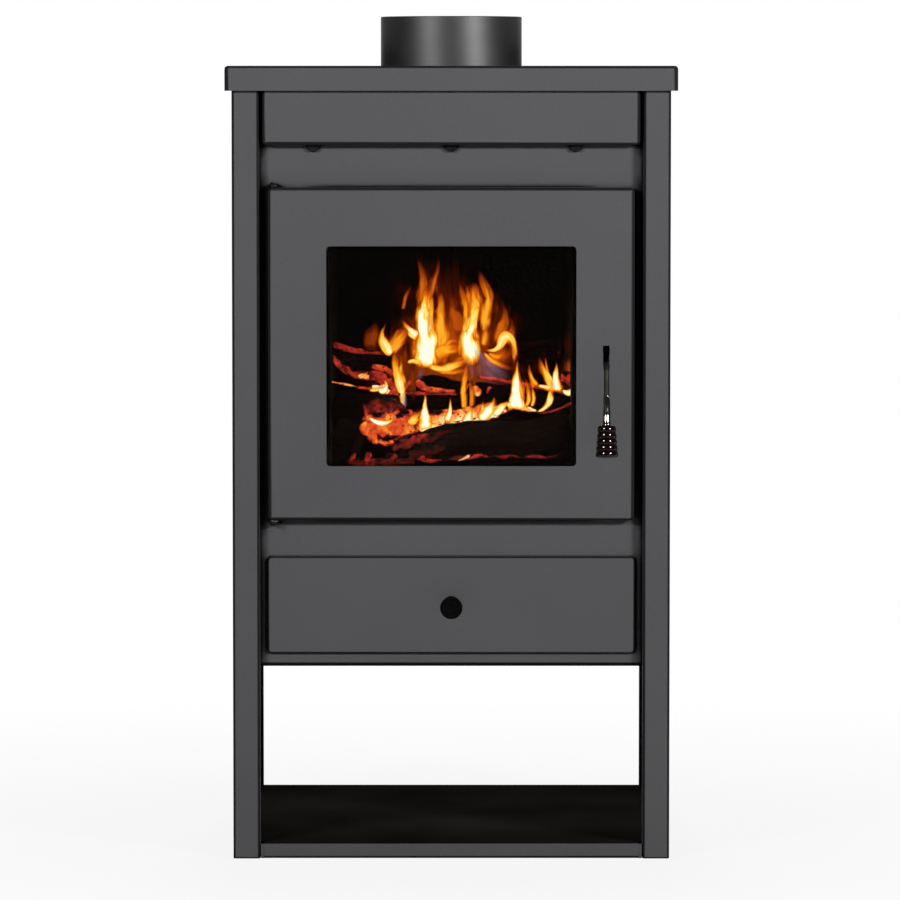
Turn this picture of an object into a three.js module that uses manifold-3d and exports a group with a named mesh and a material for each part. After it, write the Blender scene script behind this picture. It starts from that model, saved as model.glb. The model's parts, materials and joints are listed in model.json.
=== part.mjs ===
// A small free-standing wood stove with an open wood bay under its firebox.
// Two folded side panels stand on the floor and carry a base plate, a shelf and a top cap.
// Between them hangs the firebox: a front plate with a glazed door and an ash drawer,
// a wrapped sheet shell, a roof with the flue collar, and firebricks round a cast grate.
// Units are millimetres. +Z is up, the front faces -Y and +X is right, seen from the front.
import * as THREE from "three";
import { mergeVertices } from "three/addons/utils/BufferGeometryUtils.js";
import Module from "manifold-3d";

const wasm = await Module();
wasm.setup();

// Overall sizes
const bodyWidth = 388;
const bodyDepth = 400;
const capTop = 704;

// Clearances and sheet work shared by all pieces
const seat = 0.3;
const overrun = 5;
const panelSheet = 2;
const bendRadius = 3;
const arcSteps = 3;
const slotSteps = 2;
const roundSides = 36;
const pinSides = 16;
const hexSides = 6;
const gripSides = 20;
const weldTolerance = 0.0001;

// Side panels
const frontFlange = 24;
const rearFlange = 13;
const topFlange = 15;

// Top cap and flue collar
const capOverhang = 6;
const capSkirt = 22;
const capCorner = 5;
const capHoleGap = 2.5;
const collarRadius = 65;
const collarWall = 2;
const collarFlange = 13;
const collarFlangeSheet = 3;
const collarRise = 46;
const collarBackGap = 180;
const roofHoleStep = 3;

// Fascia panel above the door
const middleSideGap = 3.2;
const fasciaHeight = 67.4;
const fasciaLowerReturn = 8;

// Front plate of the firebox with the door mouth and the drawer mouth
const plateSheet = 4;
const plateOverlap = 15;
const mouthCorner = 6;

// Base plate and shelf
const shelfHeight = 171;
const baseHeight = 13.5;
const baseInset = 0.5;
const baseHem = 13.5;
const shelfSkirt = 19;

// Firebox shell, baffle and hearth
const shellSheet = 3;
const shellBend = 8;
const shellBackGap = 28;
const chamberOverlap = 10;
const roofDrop = 47;
const baffleSheet = 4;
const baffleFront = 96;
const baffleLip = 14;
const hearthDrop = 19;
const hearthSheet = 4;
const hearthHoleSideMargin = 53;
const hearthHoleFront = 95;
const hearthHoleBackMargin = 87;
const hearthHoleCorner = 8;
const ledgeWidth = 20;
const ledgeSheet = 3;
const ledgeFront = 40;
const ledgeBackGap = 22;

// Grate
const grateGap = 1;
const grateRim = 11;
const grateRimThickness = 5;
const grateDrop = 9;
const grateSlotRows = 2;
const grateSlotWidth = 8;
const grateSlotPitch = 19;
const grateSlotRowGap = 10;
const grateSideMargin = 10;
const grateEndMargin = 11;

// Firebricks and log fence
const brickThickness = 20;
const brickRise = 5;
const brickFront = 34;
const brickChamfer = 2;
const fenceSheet = 3;
const fenceFront = 24;
const fenceFoot = 26;
const fenceLean = 6;
const fenceHeight = 42;
const fenceEndGap = 2;

// Air-wash plate behind the fascia and its three bolts
const washSheet = 2;
const washSideGap = 0.5;
const washRise = 12.4;
const washKneeDrop = 13.6;
const washSlopeDepth = 13;
const washSlopeDrop = 8;
const washTipGap = 1;
const boltDrop = 0.7;
const boltLeftMargin = 5.5;
const boltRightMargin = 17.5;
const boltTurns = [20, 0, 35];
const boltNames = ["left", "middle", "right"];
const boltRadius = 3;
const boltHeadRadius = 5.6;
const boltHead = 4;
const boltNut = 5;

// Ash drawer
const drawerSideGap = 7;
const drawerCoverBelow = 3.5;
const drawerCoverAbove = 8.8;
const drawerFrontDepth = 4;
const drawerSheet = 2;
const drawerCorner = 3.6;
const drawerBend = 1.4;
const runnerRise = 16;
const runnerMouthGap = 0.7;
const runnerSheet = 3;
const runnerWidth = 19;
const runnerWall = 20;
const runnerFront = 20;
const runnerBackGap = 22;
const panSideGap = 13;
const panBackGap = 29;
const panMouthGap = 1;
const panTopGap = 4.7;
const panHeight = 68;
const panCorner = 3;
const panRim = 2.5;
const panRimThickness = 2;
const knobScrewRadius = 2;
const knobScrewHeadRadius = 4;
const knobScrewHead = 2.5;
const knobScrewDepth = 12;

// Air slide under the shelf
const slideSheet = 2;
const slideWidth = 140;
const slideFront = 130;
const slideLength = 120;
const slideTab = 10;
const slideTabWidth = 34;
const airSlots = 3;
const airSlotWidth = 14;
const airSlotLength = 96;
const airSlotPitch = 30;
const airSlotFirst = 32;
const guideSheet = 1.5;
const guideFoot = 14;
const guideLedge = 8;
const guideFront = 134;
const guideLength = 140;
const guideSideGap = 0.5;

// Rear heat shield
const shieldSheet = 1.5;
const shieldSideGap = 8;
const shieldRise = 5;
const shieldDrop = 14;
const shieldCorner = 6;
const ventWidth = 6;
const ventHeight = 50;
const ventPitch = 48;
const ventMargin = 40;
const ventSideMargin = 60;

// Door
const doorSideGap = 8;
const doorDrawerGap = 33.1;
const doorFasciaGap = 37.5;
const doorPlateGap = 2.5;
const doorSheet = 2.5;
const doorDepth = 10.5;
const doorCorner = 3.6;
const doorBend = 3;
const windowCorner = 3.5;
const glassSideGap = 1.2;
const glassLap = 5.4;
const glassThickness = 4;
const gasketThickness = 2;
const gasketInset = 0.9;
const ropeWidth = 8.4;
const ropeRound = 2.5;
const ropeCorner = 14;
const channelWall = 1.5;
const channelDepth = 6.2;
const sealInset = 1;
const sealGapBelow = 3.4;
const sealGapAbove = 3.1;
const sealLatchGap = 2.8;

// Glass clips
const clipWidth = 18;
const clipSheet = 1.5;
const clipFoot = 20;
const clipLap = 4.4;
const clipEdgeGap = 1.8;
const clipGapBelow = 3.1;
const clipGapAbove = 7.1;
const clipInset = 40.6;
const clipScrewRadius = 3.4;
const clipScrewHead = 2;

// Hinges
const hingeInset = 5;
const hingeDepth = 5.2;
const lugRadius = 4.2;
const lugThickness = 2.2;
const hingePinRadius = 2;
const hingePinChamfer = 0.4;
const hingePinReach = 4.5;
const washerRadius = 4;
const washerThickness = 0.8;

// Latch
const latchInset = 24.9;
const latchDrop = 8.65;
const latchDepth = 8;
const latchSlotWidth = 5.8;
const latchSlotRise = 16.3;
const latchSlotDrop = 3.3;
const latchPinRadius = 2;
const latchPinOverhang = 1.6;
const leverThickness = 4;
const leverBoss = 4;
const leverHookGap = 0.6;
const leverNeck = 3.4;
const noseRise = 9.4;
const noseLength = 4;
const keeperTop = 5.4;
const keeperDrop = 13.4;
const keeperSideGap = 1.5;
const bracketSheet = 1.5;
const bracketSideGap = 1.6;
const bracketEar = 8.7;
const bracketRise = 9;
const bracketDrop = 10;
const rodRadius = 2.45;
const rodReach = 11;
const rodBend = 8;
const rodStraight = 20;
const rodSides = 10;
const rodSteps = 24;
const spigotRadius = 1.5;
const spigotDepth = 15;
const handleSlantDegrees = 8;
const ferruleLength = 27.4;
const ferruleTopRadius = 2.8;
const ferruleBottomRadius = 3.9;

// Ringed grip, used on the latch and as the drawer knob
const gripLength = 27.5;
const gripTopRadius = 8.1;
const gripBottomRadius = 10.1;
const gripRings = 5;
const gripGroove = 1.3;
const gripDish = 0.8;
const gripRingSteps = 4;

// Shares of the sizes that they follow
const slotEndShare = 0.49;
const waistHeightShare = 0.3;
const waistRadiusShare = 0.2;

// Places across, from the side panels in to the window
const halfBody = bodyWidth / 2;
const flangeInner = halfBody - frontFlange;
const rearInner = halfBody - rearFlange;
const webInner = halfBody - panelSheet;
const middleWidth = 2 * (flangeInner - middleSideGap);
const plateHalf = flangeInner + plateOverlap;
const doorWidth = 2 * (flangeInner - doorSideGap);
const hingeX = -doorWidth / 2 + hingeInset;
const latchOffset = doorWidth / 2 - latchInset;
const bracketHalf = leverThickness / 2 + bracketSideGap + bracketSheet;
const keeperHalf = leverThickness / 2 + keeperSideGap;
const sealWidth = ropeWidth + 2 * seat + 2 * channelWall;
const sealReach = sealInset + ropeWidth / 2 + sealWidth / 2;
const sealHalf = latchOffset - bracketHalf - sealLatchGap - sealWidth / 2;
const mouthWidth = 2 * (sealHalf + sealWidth / 2 - sealReach);
const glassHalf = sealHalf - sealWidth / 2 - glassSideGap;
const windowWidth = 2 * (glassHalf - glassLap);
const clipOffset = windowWidth / 2 - clipInset;
const chamberWidth = mouthWidth + 2 * chamberOverlap;
const shellHalf = chamberWidth / 2 + shellSheet;
const liningHalf = chamberWidth / 2 - seat;
const hearthHoleWidth = chamberWidth - 2 * hearthHoleSideMargin;
const washWidth = chamberWidth - 2 * washSideGap;
const boltPlaces = [boltLeftMargin - washWidth / 2, 0, washWidth / 2 - boltRightMargin];
const drawerFrontWidth = 2 * (flangeInner - drawerSideGap);
const panWidth = chamberWidth - 2 * panSideGap;
const drawerMouthWidth = panWidth + 2 * (panRim + panMouthGap);
const shieldWidth = bodyWidth - 2 * shieldSideGap;

// Places in depth, from the front of the side panels back
const plateFront = doorDepth + doorPlateGap;
const plateBack = plateFront + plateSheet;
const shellFront = plateBack + seat;
const chamberBack = bodyDepth - shellBackGap;
const liningBack = chamberBack - seat;
const hearthHoleDepth = chamberBack - hearthHoleBackMargin - hearthHoleFront;
const hearthHoleCentre = hearthHoleFront + hearthHoleDepth / 2;
const ledgeBack = chamberBack - ledgeBackGap;
const runnerBack = chamberBack - runnerBackGap;
const panLength = chamberBack - panBackGap - plateFront;
const drawerFrontFace = plateFront - seat - drawerFrontDepth;
const flueCentreDepth = bodyDepth - collarBackGap;
const roofHoleRadius = collarRadius - collarWall - roofHoleStep;

// Levels of the drawer, from the shelf up
const runnerHeight = shelfHeight + runnerRise;
const drawerMouthBottom = runnerHeight - runnerMouthGap;
const drawerMouthTop = runnerHeight + seat + panHeight + panTopGap;
const drawerFrontBottom = drawerMouthBottom - drawerCoverBelow;
const drawerFrontHeight = drawerMouthTop + drawerCoverAbove - drawerFrontBottom;

// Levels of the door and the firebox, between the drawer and the top cap
const collarTop = capTop + collarRise;
const panelTop = capTop - panelSheet - seat;
const fasciaBottom = panelTop - fasciaHeight;
const doorBottom = drawerFrontBottom + drawerFrontHeight + doorDrawerGap;
const doorTop = fasciaBottom - doorFasciaGap;
const doorHeight = doorTop - doorBottom;
const doorMiddle = (doorBottom + doorTop) / 2;
const latchHeight = doorMiddle - latchDrop;
const mouthBottom = doorBottom + doorSheet + sealGapBelow + sealReach;
const mouthTop = doorTop - doorSheet - sealGapAbove - sealReach;
const sealBottom = mouthBottom - sealInset - ropeWidth / 2;
const sealTop = mouthTop + sealInset + ropeWidth / 2;
const glassMargin = sealWidth / 2 + clipFoot + clipEdgeGap;
const glassBottom = sealBottom + glassMargin + clipGapBelow;
const glassTop = sealTop - glassMargin - clipGapAbove;
const windowBottom = glassBottom + glassLap;
const windowHeight = glassTop - glassLap - windowBottom;
const hearthHeight = mouthBottom - hearthDrop;
const hearthTop = hearthHeight + hearthSheet;
const brickTop = mouthTop + brickRise;
const boltHeight = fasciaBottom - boltDrop;
const washTop = boltHeight + washRise;
const washKnee = boltHeight - washKneeDrop;
const washTip = brickTop + washTipGap;
const shellBottom = shelfHeight + panelSheet + seat;
const roofHeight = capTop - roofDrop;
const roofTop = roofHeight + plateSheet;
const shieldBottom = shelfHeight + shieldRise;
const shieldTop = capTop - shieldDrop;

// Angles
const quarter = Math.PI / 2;
const handleSlant = THREE.MathUtils.degToRad(handleSlantDegrees);

// Colours and finishes
const finishes = {
  paint: { color: 0x5a5a5c, roughness: 0.62, metalness: 0.25 },
  darkPaint: { color: 0x1b1b1c, roughness: 0.4, metalness: 0.3 },
  rawSteel: { color: 0x4a4845, roughness: 0.55, metalness: 0.8 },
  castIron: { color: 0x2c2b2a, roughness: 0.8, metalness: 0.6 },
  firebrick: { color: 0x4c4036, roughness: 0.95, metalness: 0 },
  glass: { color: 0x2a2622, roughness: 0.05, metalness: 0, transparent: true, opacity: 0.4 },
  rope: { color: 0x3a3937, roughness: 1, metalness: 0 },
  blackSteel: { color: 0x141414, roughness: 0.45, metalness: 0.7 },
  chrome: { color: 0xc8c8c8, roughness: 0.12, metalness: 1 },
  bakelite: { color: 0x22090b, roughness: 0.18, metalness: 0 },
};

// Solid helpers: weld makes a closed mesh, join and cut combine closed meshes
function weld(geometry) {
  const bare = geometry.clone();
  bare.deleteAttribute("normal");
  bare.deleteAttribute("uv");
  const merged = mergeVertices(bare, weldTolerance);
  const kept = [];
  const index = merged.index.array;
  for (let i = 0; i < index.length; i += 3) {
    const [a, b, c] = [index[i], index[i + 1], index[i + 2]];
    if (a !== b && b !== c && c !== a) kept.push(a, b, c);
  }
  merged.setIndex(kept);
  return facingOut(merged);
}

function facingOut(geometry) {
  const place = geometry.attributes.position;
  const index = geometry.index.array;
  const [a, b, c] = [new THREE.Vector3(), new THREE.Vector3(), new THREE.Vector3()];
  let volume = 0;
  for (let i = 0; i < index.length; i += 3) {
    a.fromBufferAttribute(place, index[i]);
    b.fromBufferAttribute(place, index[i + 1]);
    c.fromBufferAttribute(place, index[i + 2]);
    volume += a.dot(b.cross(c));
  }
  if (volume < 0) geometry.setIndex(Array.from(index).reverse());
  return geometry;
}

function toManifold(geometry) {
  const closed = weld(geometry);
  const vertProperties = new Float32Array(closed.attributes.position.array);
  const triVerts = new Uint32Array(closed.index.array);
  return new wasm.Manifold(new wasm.Mesh({ numProp: 3, vertProperties, triVerts }));
}

function fromManifold(solid) {
  const mesh = solid.getMesh();
  const geometry = new THREE.BufferGeometry();
  geometry.setAttribute("position", new THREE.BufferAttribute(mesh.vertProperties, 3));
  geometry.setIndex(new THREE.BufferAttribute(mesh.triVerts, 1));
  return geometry;
}

function join(first, ...others) {
  const solid = others.reduce((sum, other) => sum.add(toManifold(other)), toManifold(first));
  return fromManifold(solid);
}

function cut(first, ...tools) {
  const solid = tools.reduce((rest, tool) => rest.subtract(toManifold(tool)), toManifold(first));
  return fromManifold(solid);
}

// Basic forms, each given by its own limits
function block(low, high) {
  const size = high.map((value, axis) => value - low[axis]);
  const centre = high.map((value, axis) => (value + low[axis]) / 2);
  return new THREE.BoxGeometry(...size).translate(...centre);
}

function extrude(shape, depth, curveSegments = arcSteps) {
  return new THREE.ExtrudeGeometry(shape, { depth, bevelEnabled: false, curveSegments });
}

// A shape drawn in x and y, standing from one height to another
function extrudeUp(shape, low, high) {
  return extrude(shape, high - low).translate(0, 0, low);
}

// A shape drawn in x and z, reaching from a front depth to a back depth
function extrudeBack(shape, front, back) {
  return extrude(shape, back - front).rotateX(quarter).translate(0, back, 0);
}

// A shape drawn in y and z, reaching from a left place to a right place
function extrudeAcross(shape, left, right) {
  const turn = new THREE.Matrix4().makeBasis(
    new THREE.Vector3(0, 1, 0),
    new THREE.Vector3(0, 0, 1),
    new THREE.Vector3(1, 0, 0),
  );
  return extrude(shape, right - left).applyMatrix4(turn).translate(left, 0, 0);
}

function rod(radius, length, sides) {
  return new THREE.CylinderGeometry(radius, radius, length, sides);
}

function rodUp(radius, low, high, sides = pinSides) {
  return rod(radius, high - low, sides).rotateX(quarter).translate(0, 0, (low + high) / 2);
}

function rodBack(radius, front, back, sides = pinSides) {
  return rod(radius, back - front, sides).translate(0, (front + back) / 2, 0);
}

function rodAcross(radius, left, right, sides = pinSides) {
  return rod(radius, right - left, sides).rotateZ(quarter).translate((left + right) / 2, 0, 0);
}

function rectangle(left, low, right, high) {
  const shape = new THREE.Shape();
  shape.moveTo(left, low);
  shape.lineTo(right, low);
  shape.lineTo(right, high);
  shape.lineTo(left, high);
  shape.closePath();
  return shape;
}

function roundedRectangle(left, low, right, high, radius) {
  const shape = new THREE.Shape();
  shape.moveTo(left + radius, low);
  shape.lineTo(right - radius, low);
  shape.absarc(right - radius, low + radius, radius, -quarter, 0);
  shape.lineTo(right, high - radius);
  shape.absarc(right - radius, high - radius, radius, 0, quarter);
  shape.lineTo(left + radius, high);
  shape.absarc(left + radius, high - radius, radius, quarter, 2 * quarter);
  shape.lineTo(left, low + radius);
  shape.absarc(left + radius, low + radius, radius, 2 * quarter, 3 * quarter);
  return shape;
}

function circle(x, y, radius, sides = pinSides) {
  const corners = Array.from({ length: sides }, (_, number) => {
    const angle = (number / sides) * 4 * quarter;
    return new THREE.Vector2(x + Math.cos(angle) * radius, y + Math.sin(angle) * radius);
  });
  return new THREE.Shape(corners);
}

// A closed outline with each corner rounded by its own radius
function roundedOutline(corners) {
  const shape = new THREE.Shape();
  corners.forEach(({ at, radius }, number) => {
    const before = corners[(number + corners.length - 1) % corners.length].at;
    const after = corners[(number + 1) % corners.length].at;
    const toBefore = before.clone().sub(at).normalize();
    const toAfter = after.clone().sub(at).normalize();
    const half = Math.acos(THREE.MathUtils.clamp(toBefore.dot(toAfter), -1, 1)) / 2;
    const reach = radius / Math.tan(half);
    const start = at.clone().addScaledVector(toBefore, reach);
    const end = at.clone().addScaledVector(toAfter, reach);
    if (number === 0) shape.moveTo(start.x, start.y);
    else shape.lineTo(start.x, start.y);
    if (radius > 0) {
      const middle = toBefore.clone().add(toAfter).normalize();
      const centre = at.clone().addScaledVector(middle, radius / Math.sin(half));
      const from = start.clone().sub(centre).angle();
      const to = end.clone().sub(centre).angle();
      shape.absarc(centre.x, centre.y, radius, from, to, toBefore.cross(toAfter) > 0);
    }
  });
  shape.closePath();
  return shape;
}

// The section of a folded sheet: its face follows the points, its thickness lies to their left
function foldedSheet(points, thickness, outerRadius) {
  const line = points.map(([x, y]) => new THREE.Vector2(x, y));
  const innerRadius = Math.max(outerRadius - thickness, 0);
  const face = [];
  const back = [];
  line.forEach((at, number) => {
    const into = number > 0 ? at.clone().sub(line[number - 1]).normalize() : null;
    const out = number < line.length - 1 ? line[number + 1].clone().sub(at).normalize() : null;
    const first = into ?? out;
    const second = out ?? into;
    const turn = first.cross(second);
    const normals = new THREE.Vector2(-first.y - second.y, first.x + second.x);
    const shift = normals.multiplyScalar((2 * thickness) / normals.lengthSq());
    const isEnd = !into || !out;
    const faceRadius = turn > 0 ? outerRadius : innerRadius;
    const backRadius = turn > 0 ? innerRadius : outerRadius;
    face.push({ at: at.clone(), radius: isEnd ? 0 : faceRadius });
    back.unshift({ at: at.clone().add(shift), radius: isEnd ? 0 : backRadius });
  });
  return roundedOutline([...face, ...back]);
}

// A tray pressed from one sheet: its face lies at zero height and its walls stand up from it
function pressedTray(width, length, depth, sheet, corner, bend) {
  const outline = roundedRectangle(-width / 2, -length / 2, width / 2, length / 2, corner);
  const outer = new THREE.ExtrudeGeometry(outline, {
    depth,
    bevelSize: bend,
    bevelOffset: -bend,
    bevelThickness: bend,
    bevelSegments: arcSteps,
    curveSegments: arcSteps,
  }).translate(0, 0, bend);
  const far = [width / 2 + overrun, length / 2 + overrun];
  const trimmed = cut(outer, block([-far[0], -far[1], depth], [far[0], far[1], depth + 3 * bend + overrun]));
  const inside = roundedRectangle(
    -width / 2 + sheet,
    -length / 2 + sheet,
    width / 2 - sheet,
    length / 2 - sheet,
    Math.max(corner - sheet, sheet / 2),
  );
  return cut(trimmed, extrudeUp(inside, sheet, depth + overrun));
}

// Turned so that a tray's face looks to the front and its walls reach back
function facingFront(tray) {
  return tray.rotateX(-quarter);
}

function piece(name, geometry, finish, x = 0, y = 0, z = 0) {
  const shown = geometry.index ? geometry : weld(geometry);
  const mesh = new THREE.Mesh(weld(shown), new THREE.MeshStandardMaterial(finishes[finish]));
  mesh.name = name;
  mesh.position.set(x, y, z);
  return mesh;
}

// Side panels: web, front flange with a lip, rear flange, and a flange that carries the cap
function sidePanel(side) {
  const lipEnd = plateFront - seat;
  const section = foldedSheet(
    [
      [flangeInner, lipEnd],
      [flangeInner, 0],
      [halfBody, 0],
      [halfBody, bodyDepth],
      [rearInner, bodyDepth],
    ],
    panelSheet,
    bendRadius,
  );
  const wall = extrudeUp(section, 0, panelTop);
  const carrier = block(
    [halfBody - topFlange, bendRadius, panelTop - panelSheet],
    [halfBody - panelSheet / 2, bodyDepth - bendRadius, panelTop],
  );
  const panel = join(wall, carrier);
  if (side < 0) panel.rotateZ(2 * quarter).scale(1, -1, 1);
  return panel;
}

function topCap() {
  const width = bodyWidth + 2 * capOverhang;
  const length = bodyDepth + 2 * capOverhang;
  const tray = pressedTray(width, length, capSkirt, panelSheet, capCorner, bendRadius).rotateX(2 * quarter);
  const holeRadius = collarRadius + capHoleGap;
  const hole = rodUp(holeRadius, -capSkirt, overrun, roundSides).translate(0, flueCentreDepth - bodyDepth / 2, 0);
  return cut(tray, hole);
}

// Flue collar: a short tube with a flange that sits on the firebox roof
function flueCollar() {
  const height = collarTop - roofTop - seat;
  const rimRound = collarWall / 4;
  const profile = [
    [collarRadius - collarWall, 0],
    [collarRadius + collarFlange, 0],
    [collarRadius + collarFlange, collarFlangeSheet],
    [collarRadius, collarFlangeSheet],
    [collarRadius, height - rimRound],
    [collarRadius - rimRound, height],
    [collarRadius - collarWall + rimRound, height],
    [collarRadius - collarWall, height - rimRound],
    [collarRadius - collarWall, 0],
  ].map(([radius, level]) => new THREE.Vector2(radius, level));
  return new THREE.LatheGeometry(profile, roundSides).rotateX(quarter);
}

function fasciaPanel() {
  const height = panelTop - fasciaBottom;
  const tray = facingFront(
    pressedTray(middleWidth, height, plateFront - seat, panelSheet, bendRadius + seat, bendRadius),
  );
  const half = middleWidth / 2 - panelSheet;
  const notch = block(
    [-half, fasciaLowerReturn, -height / 2 - overrun],
    [half, plateFront + overrun, -height / 2 + panelSheet + seat],
  );
  return cut(tray, notch);
}

function frontPlate() {
  const outline = rectangle(-plateHalf, shelfHeight, plateHalf, roofTop);
  outline.holes.push(
    roundedRectangle(-mouthWidth / 2, mouthBottom, mouthWidth / 2, mouthTop, mouthCorner),
    rectangle(-drawerMouthWidth / 2, drawerMouthBottom, drawerMouthWidth / 2, drawerMouthTop),
    rectangle(
      latchOffset - keeperHalf,
      latchHeight - keeperDrop,
      latchOffset + keeperHalf,
      latchHeight + keeperTop,
    ),
  );
  boltPlaces.forEach((x) => outline.holes.push(circle(x, boltHeight, boltRadius + seat)));
  return extrudeBack(outline, plateFront, plateBack);
}

// Base plate: a tray notched round the side panels' flanges, hemmed under at front and rear
function basePlate() {
  const front = baseInset;
  const back = bodyDepth - baseInset;
  const runSection = foldedSheet(
    [
      [back - baseHem, 0],
      [back, 0],
      [back, baseHeight],
      [front, baseHeight],
      [front, 0],
      [front + baseHem, 0],
    ],
    panelSheet,
    bendRadius,
  );
  const run = extrudeAcross(runSection, -middleWidth / 2, middleWidth / 2);
  const half = webInner - seat;
  const crossSection = foldedSheet(
    [
      [half, 0],
      [half, baseHeight],
      [-half, baseHeight],
      [-half, 0],
    ],
    panelSheet,
    bendRadius,
  );
  const cross = extrudeBack(crossSection, plateFront + seat, bodyDepth - panelSheet - seat);
  return join(run, cross);
}

function shelfPlate() {
  const half = webInner - seat;
  const skirtTop = shelfHeight + shelfSkirt;
  const section = foldedSheet(
    [
      [-half, skirtTop],
      [-half, shelfHeight],
      [half, shelfHeight],
      [half, skirtTop],
    ],
    panelSheet,
    bendRadius,
  );
  const tray = extrudeBack(section, plateBack + seat, bodyDepth - panelSheet - seat);
  return cut(tray, ...airSlotCutters(slideFront, shelfHeight - overrun, shelfHeight + panelSheet + overrun));
}

function airSlotCutters(front, low, high) {
  return Array.from({ length: airSlots }, (_, number) => {
    const middle = front + airSlotFirst + number * airSlotPitch;
    const slot = roundedRectangle(
      -airSlotLength / 2,
      middle - airSlotWidth / 2,
      airSlotLength / 2,
      middle + airSlotWidth / 2,
      airSlotWidth / 4,
    );
    return extrudeUp(slot, low, high);
  });
}

// Firebox shell: left wall, back wall and right wall wrapped from one sheet
function fireboxShell() {
  const section = foldedSheet(
    [
      [shellHalf, shellFront],
      [shellHalf, chamberBack + shellSheet],
      [-shellHalf, chamberBack + shellSheet],
      [-shellHalf, shellFront],
    ],
    shellSheet,
    shellBend,
  );
  return extrudeUp(section, shellBottom, roofHeight - seat);
}

function fireboxRoof() {
  const outline = rectangle(-shellHalf, shellFront, shellHalf, chamberBack + shellSheet);
  outline.holes.push(circle(0, flueCentreDepth, roofHoleRadius, roundSides));
  return extrudeUp(outline, roofHeight, roofTop);
}

function bafflePlate() {
  const level = brickTop + seat;
  const section = foldedSheet(
    [
      [baffleFront, level + baffleLip],
      [baffleFront, level],
      [liningBack - shellBend, level],
    ],
    baffleSheet,
    baffleSheet,
  );
  return extrudeAcross(section, -liningHalf, liningHalf);
}

function hearthPlate() {
  const corner = shellBend;
  const outline = roundedRectangle(-liningHalf, shellFront, liningHalf, liningBack, corner);
  outline.holes.push(
    roundedRectangle(
      -hearthHoleWidth / 2,
      hearthHoleCentre - hearthHoleDepth / 2,
      hearthHoleWidth / 2,
      hearthHoleCentre + hearthHoleDepth / 2,
      hearthHoleCorner,
    ),
  );
  return extrudeUp(outline, hearthHeight, hearthTop);
}

function hearthLedge(side) {
  const top = hearthHeight - seat;
  const points = [
    [side * liningHalf, top - ledgeWidth],
    [side * liningHalf, top],
    [side * (liningHalf - ledgeWidth), top],
  ];
  if (side < 0) points.reverse();
  return extrudeBack(foldedSheet(points, ledgeSheet, ledgeSheet), ledgeFront, ledgeBack);
}

// Cast grate: a body that drops into the hearth, a rim that rests on it, and rows of ash slots
function grate() {
  const bodyX = hearthHoleWidth / 2 - grateGap;
  const bodyY = hearthHoleDepth / 2 - grateGap;
  const rimX = bodyX + grateRim;
  const rimY = bodyY + grateRim;
  const rim = extrudeUp(roundedRectangle(-rimX, -rimY, rimX, rimY, hearthHoleCorner), 0, grateRimThickness);
  const body = extrudeUp(
    roundedRectangle(-bodyX, -bodyY, bodyX, bodyY, hearthHoleCorner - grateGap),
    -grateDrop,
    grateRimThickness / 2,
  );
  const slots = [];
  const slotRun = 2 * (bodyX - grateSideMargin) + grateSlotPitch - grateSlotWidth;
  const columns = Math.floor(slotRun / grateSlotPitch);
  const rowPitch = (2 * (bodyY - grateEndMargin) + grateSlotRowGap) / grateSlotRows;
  const slotLength = rowPitch - grateSlotRowGap;
  for (let column = 0; column < columns; column += 1) {
    for (let row = 0; row < grateSlotRows; row += 1) {
      const x = (column - (columns - 1) / 2) * grateSlotPitch;
      const y = (row - (grateSlotRows - 1) / 2) * rowPitch;
      const slot = roundedRectangle(
        x - grateSlotWidth / 2,
        y - slotLength / 2,
        x + grateSlotWidth / 2,
        y + slotLength / 2,
        grateSlotWidth * slotEndShare,
      );
      const height = grateDrop + grateRimThickness + 2 * overrun;
      slots.push(extrude(slot, height, slotSteps).translate(0, 0, -grateDrop - overrun));
    }
  }
  return cut(join(rim, body), ...slots);
}

// A firebrick standing on its end, with its long edges chamfered
function firebrick(width, thickness) {
  const height = brickTop - hearthTop - seat;
  const outline = [
    [-width / 2 + brickChamfer, -thickness / 2],
    [width / 2 - brickChamfer, -thickness / 2],
    [width / 2, -thickness / 2 + brickChamfer],
    [width / 2, thickness / 2 - brickChamfer],
    [width / 2 - brickChamfer, thickness / 2],
    [-width / 2 + brickChamfer, thickness / 2],
    [-width / 2, thickness / 2 - brickChamfer],
    [-width / 2, -thickness / 2 + brickChamfer],
  ].map(([x, y]) => new THREE.Vector2(x, y));
  return extrudeUp(new THREE.Shape(outline), 0, height);
}

function firebricks() {
  const bricks = [];
  const level = hearthTop + seat;
  const rowBack = liningBack - brickThickness;
  const sideLength = (rowBack - seat - brickFront - seat) / 2;
  const sideCentre = liningHalf - brickThickness / 2;
  [["left", -1], ["right", 1]].forEach(([side, sign]) => {
    [["front", 0], ["rear", 1]].forEach(([place, number]) => {
      const y = brickFront + sideLength / 2 + number * (sideLength + seat);
      const geometry = firebrick(sideLength, brickThickness).rotateZ(quarter);
      bricks.push(piece(`firebrick_${side}_${place}`, geometry, "firebrick", sign * sideCentre, y, level));
    });
    const backWidth = liningHalf - brickChamfer - seat / 2;
    const x = sign * (backWidth + seat) / 2;
    const geometry = firebrick(backWidth, brickThickness);
    bricks.push(piece(`firebrick_back_${side}`, geometry, "firebrick", x, rowBack + brickThickness / 2, level));
  });
  return bricks;
}

// Log fence: a leaning strip that keeps logs off the glass
function logFence() {
  const level = hearthTop + seat;
  const section = foldedSheet(
    [
      [fenceFront - fenceLean, level + fenceHeight],
      [fenceFront, level],
      [fenceFront + fenceFoot, level],
    ],
    fenceSheet,
    fenceSheet,
  );
  const half = liningHalf - brickThickness - fenceEndGap;
  return extrudeAcross(section, -half, half);
}

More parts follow.
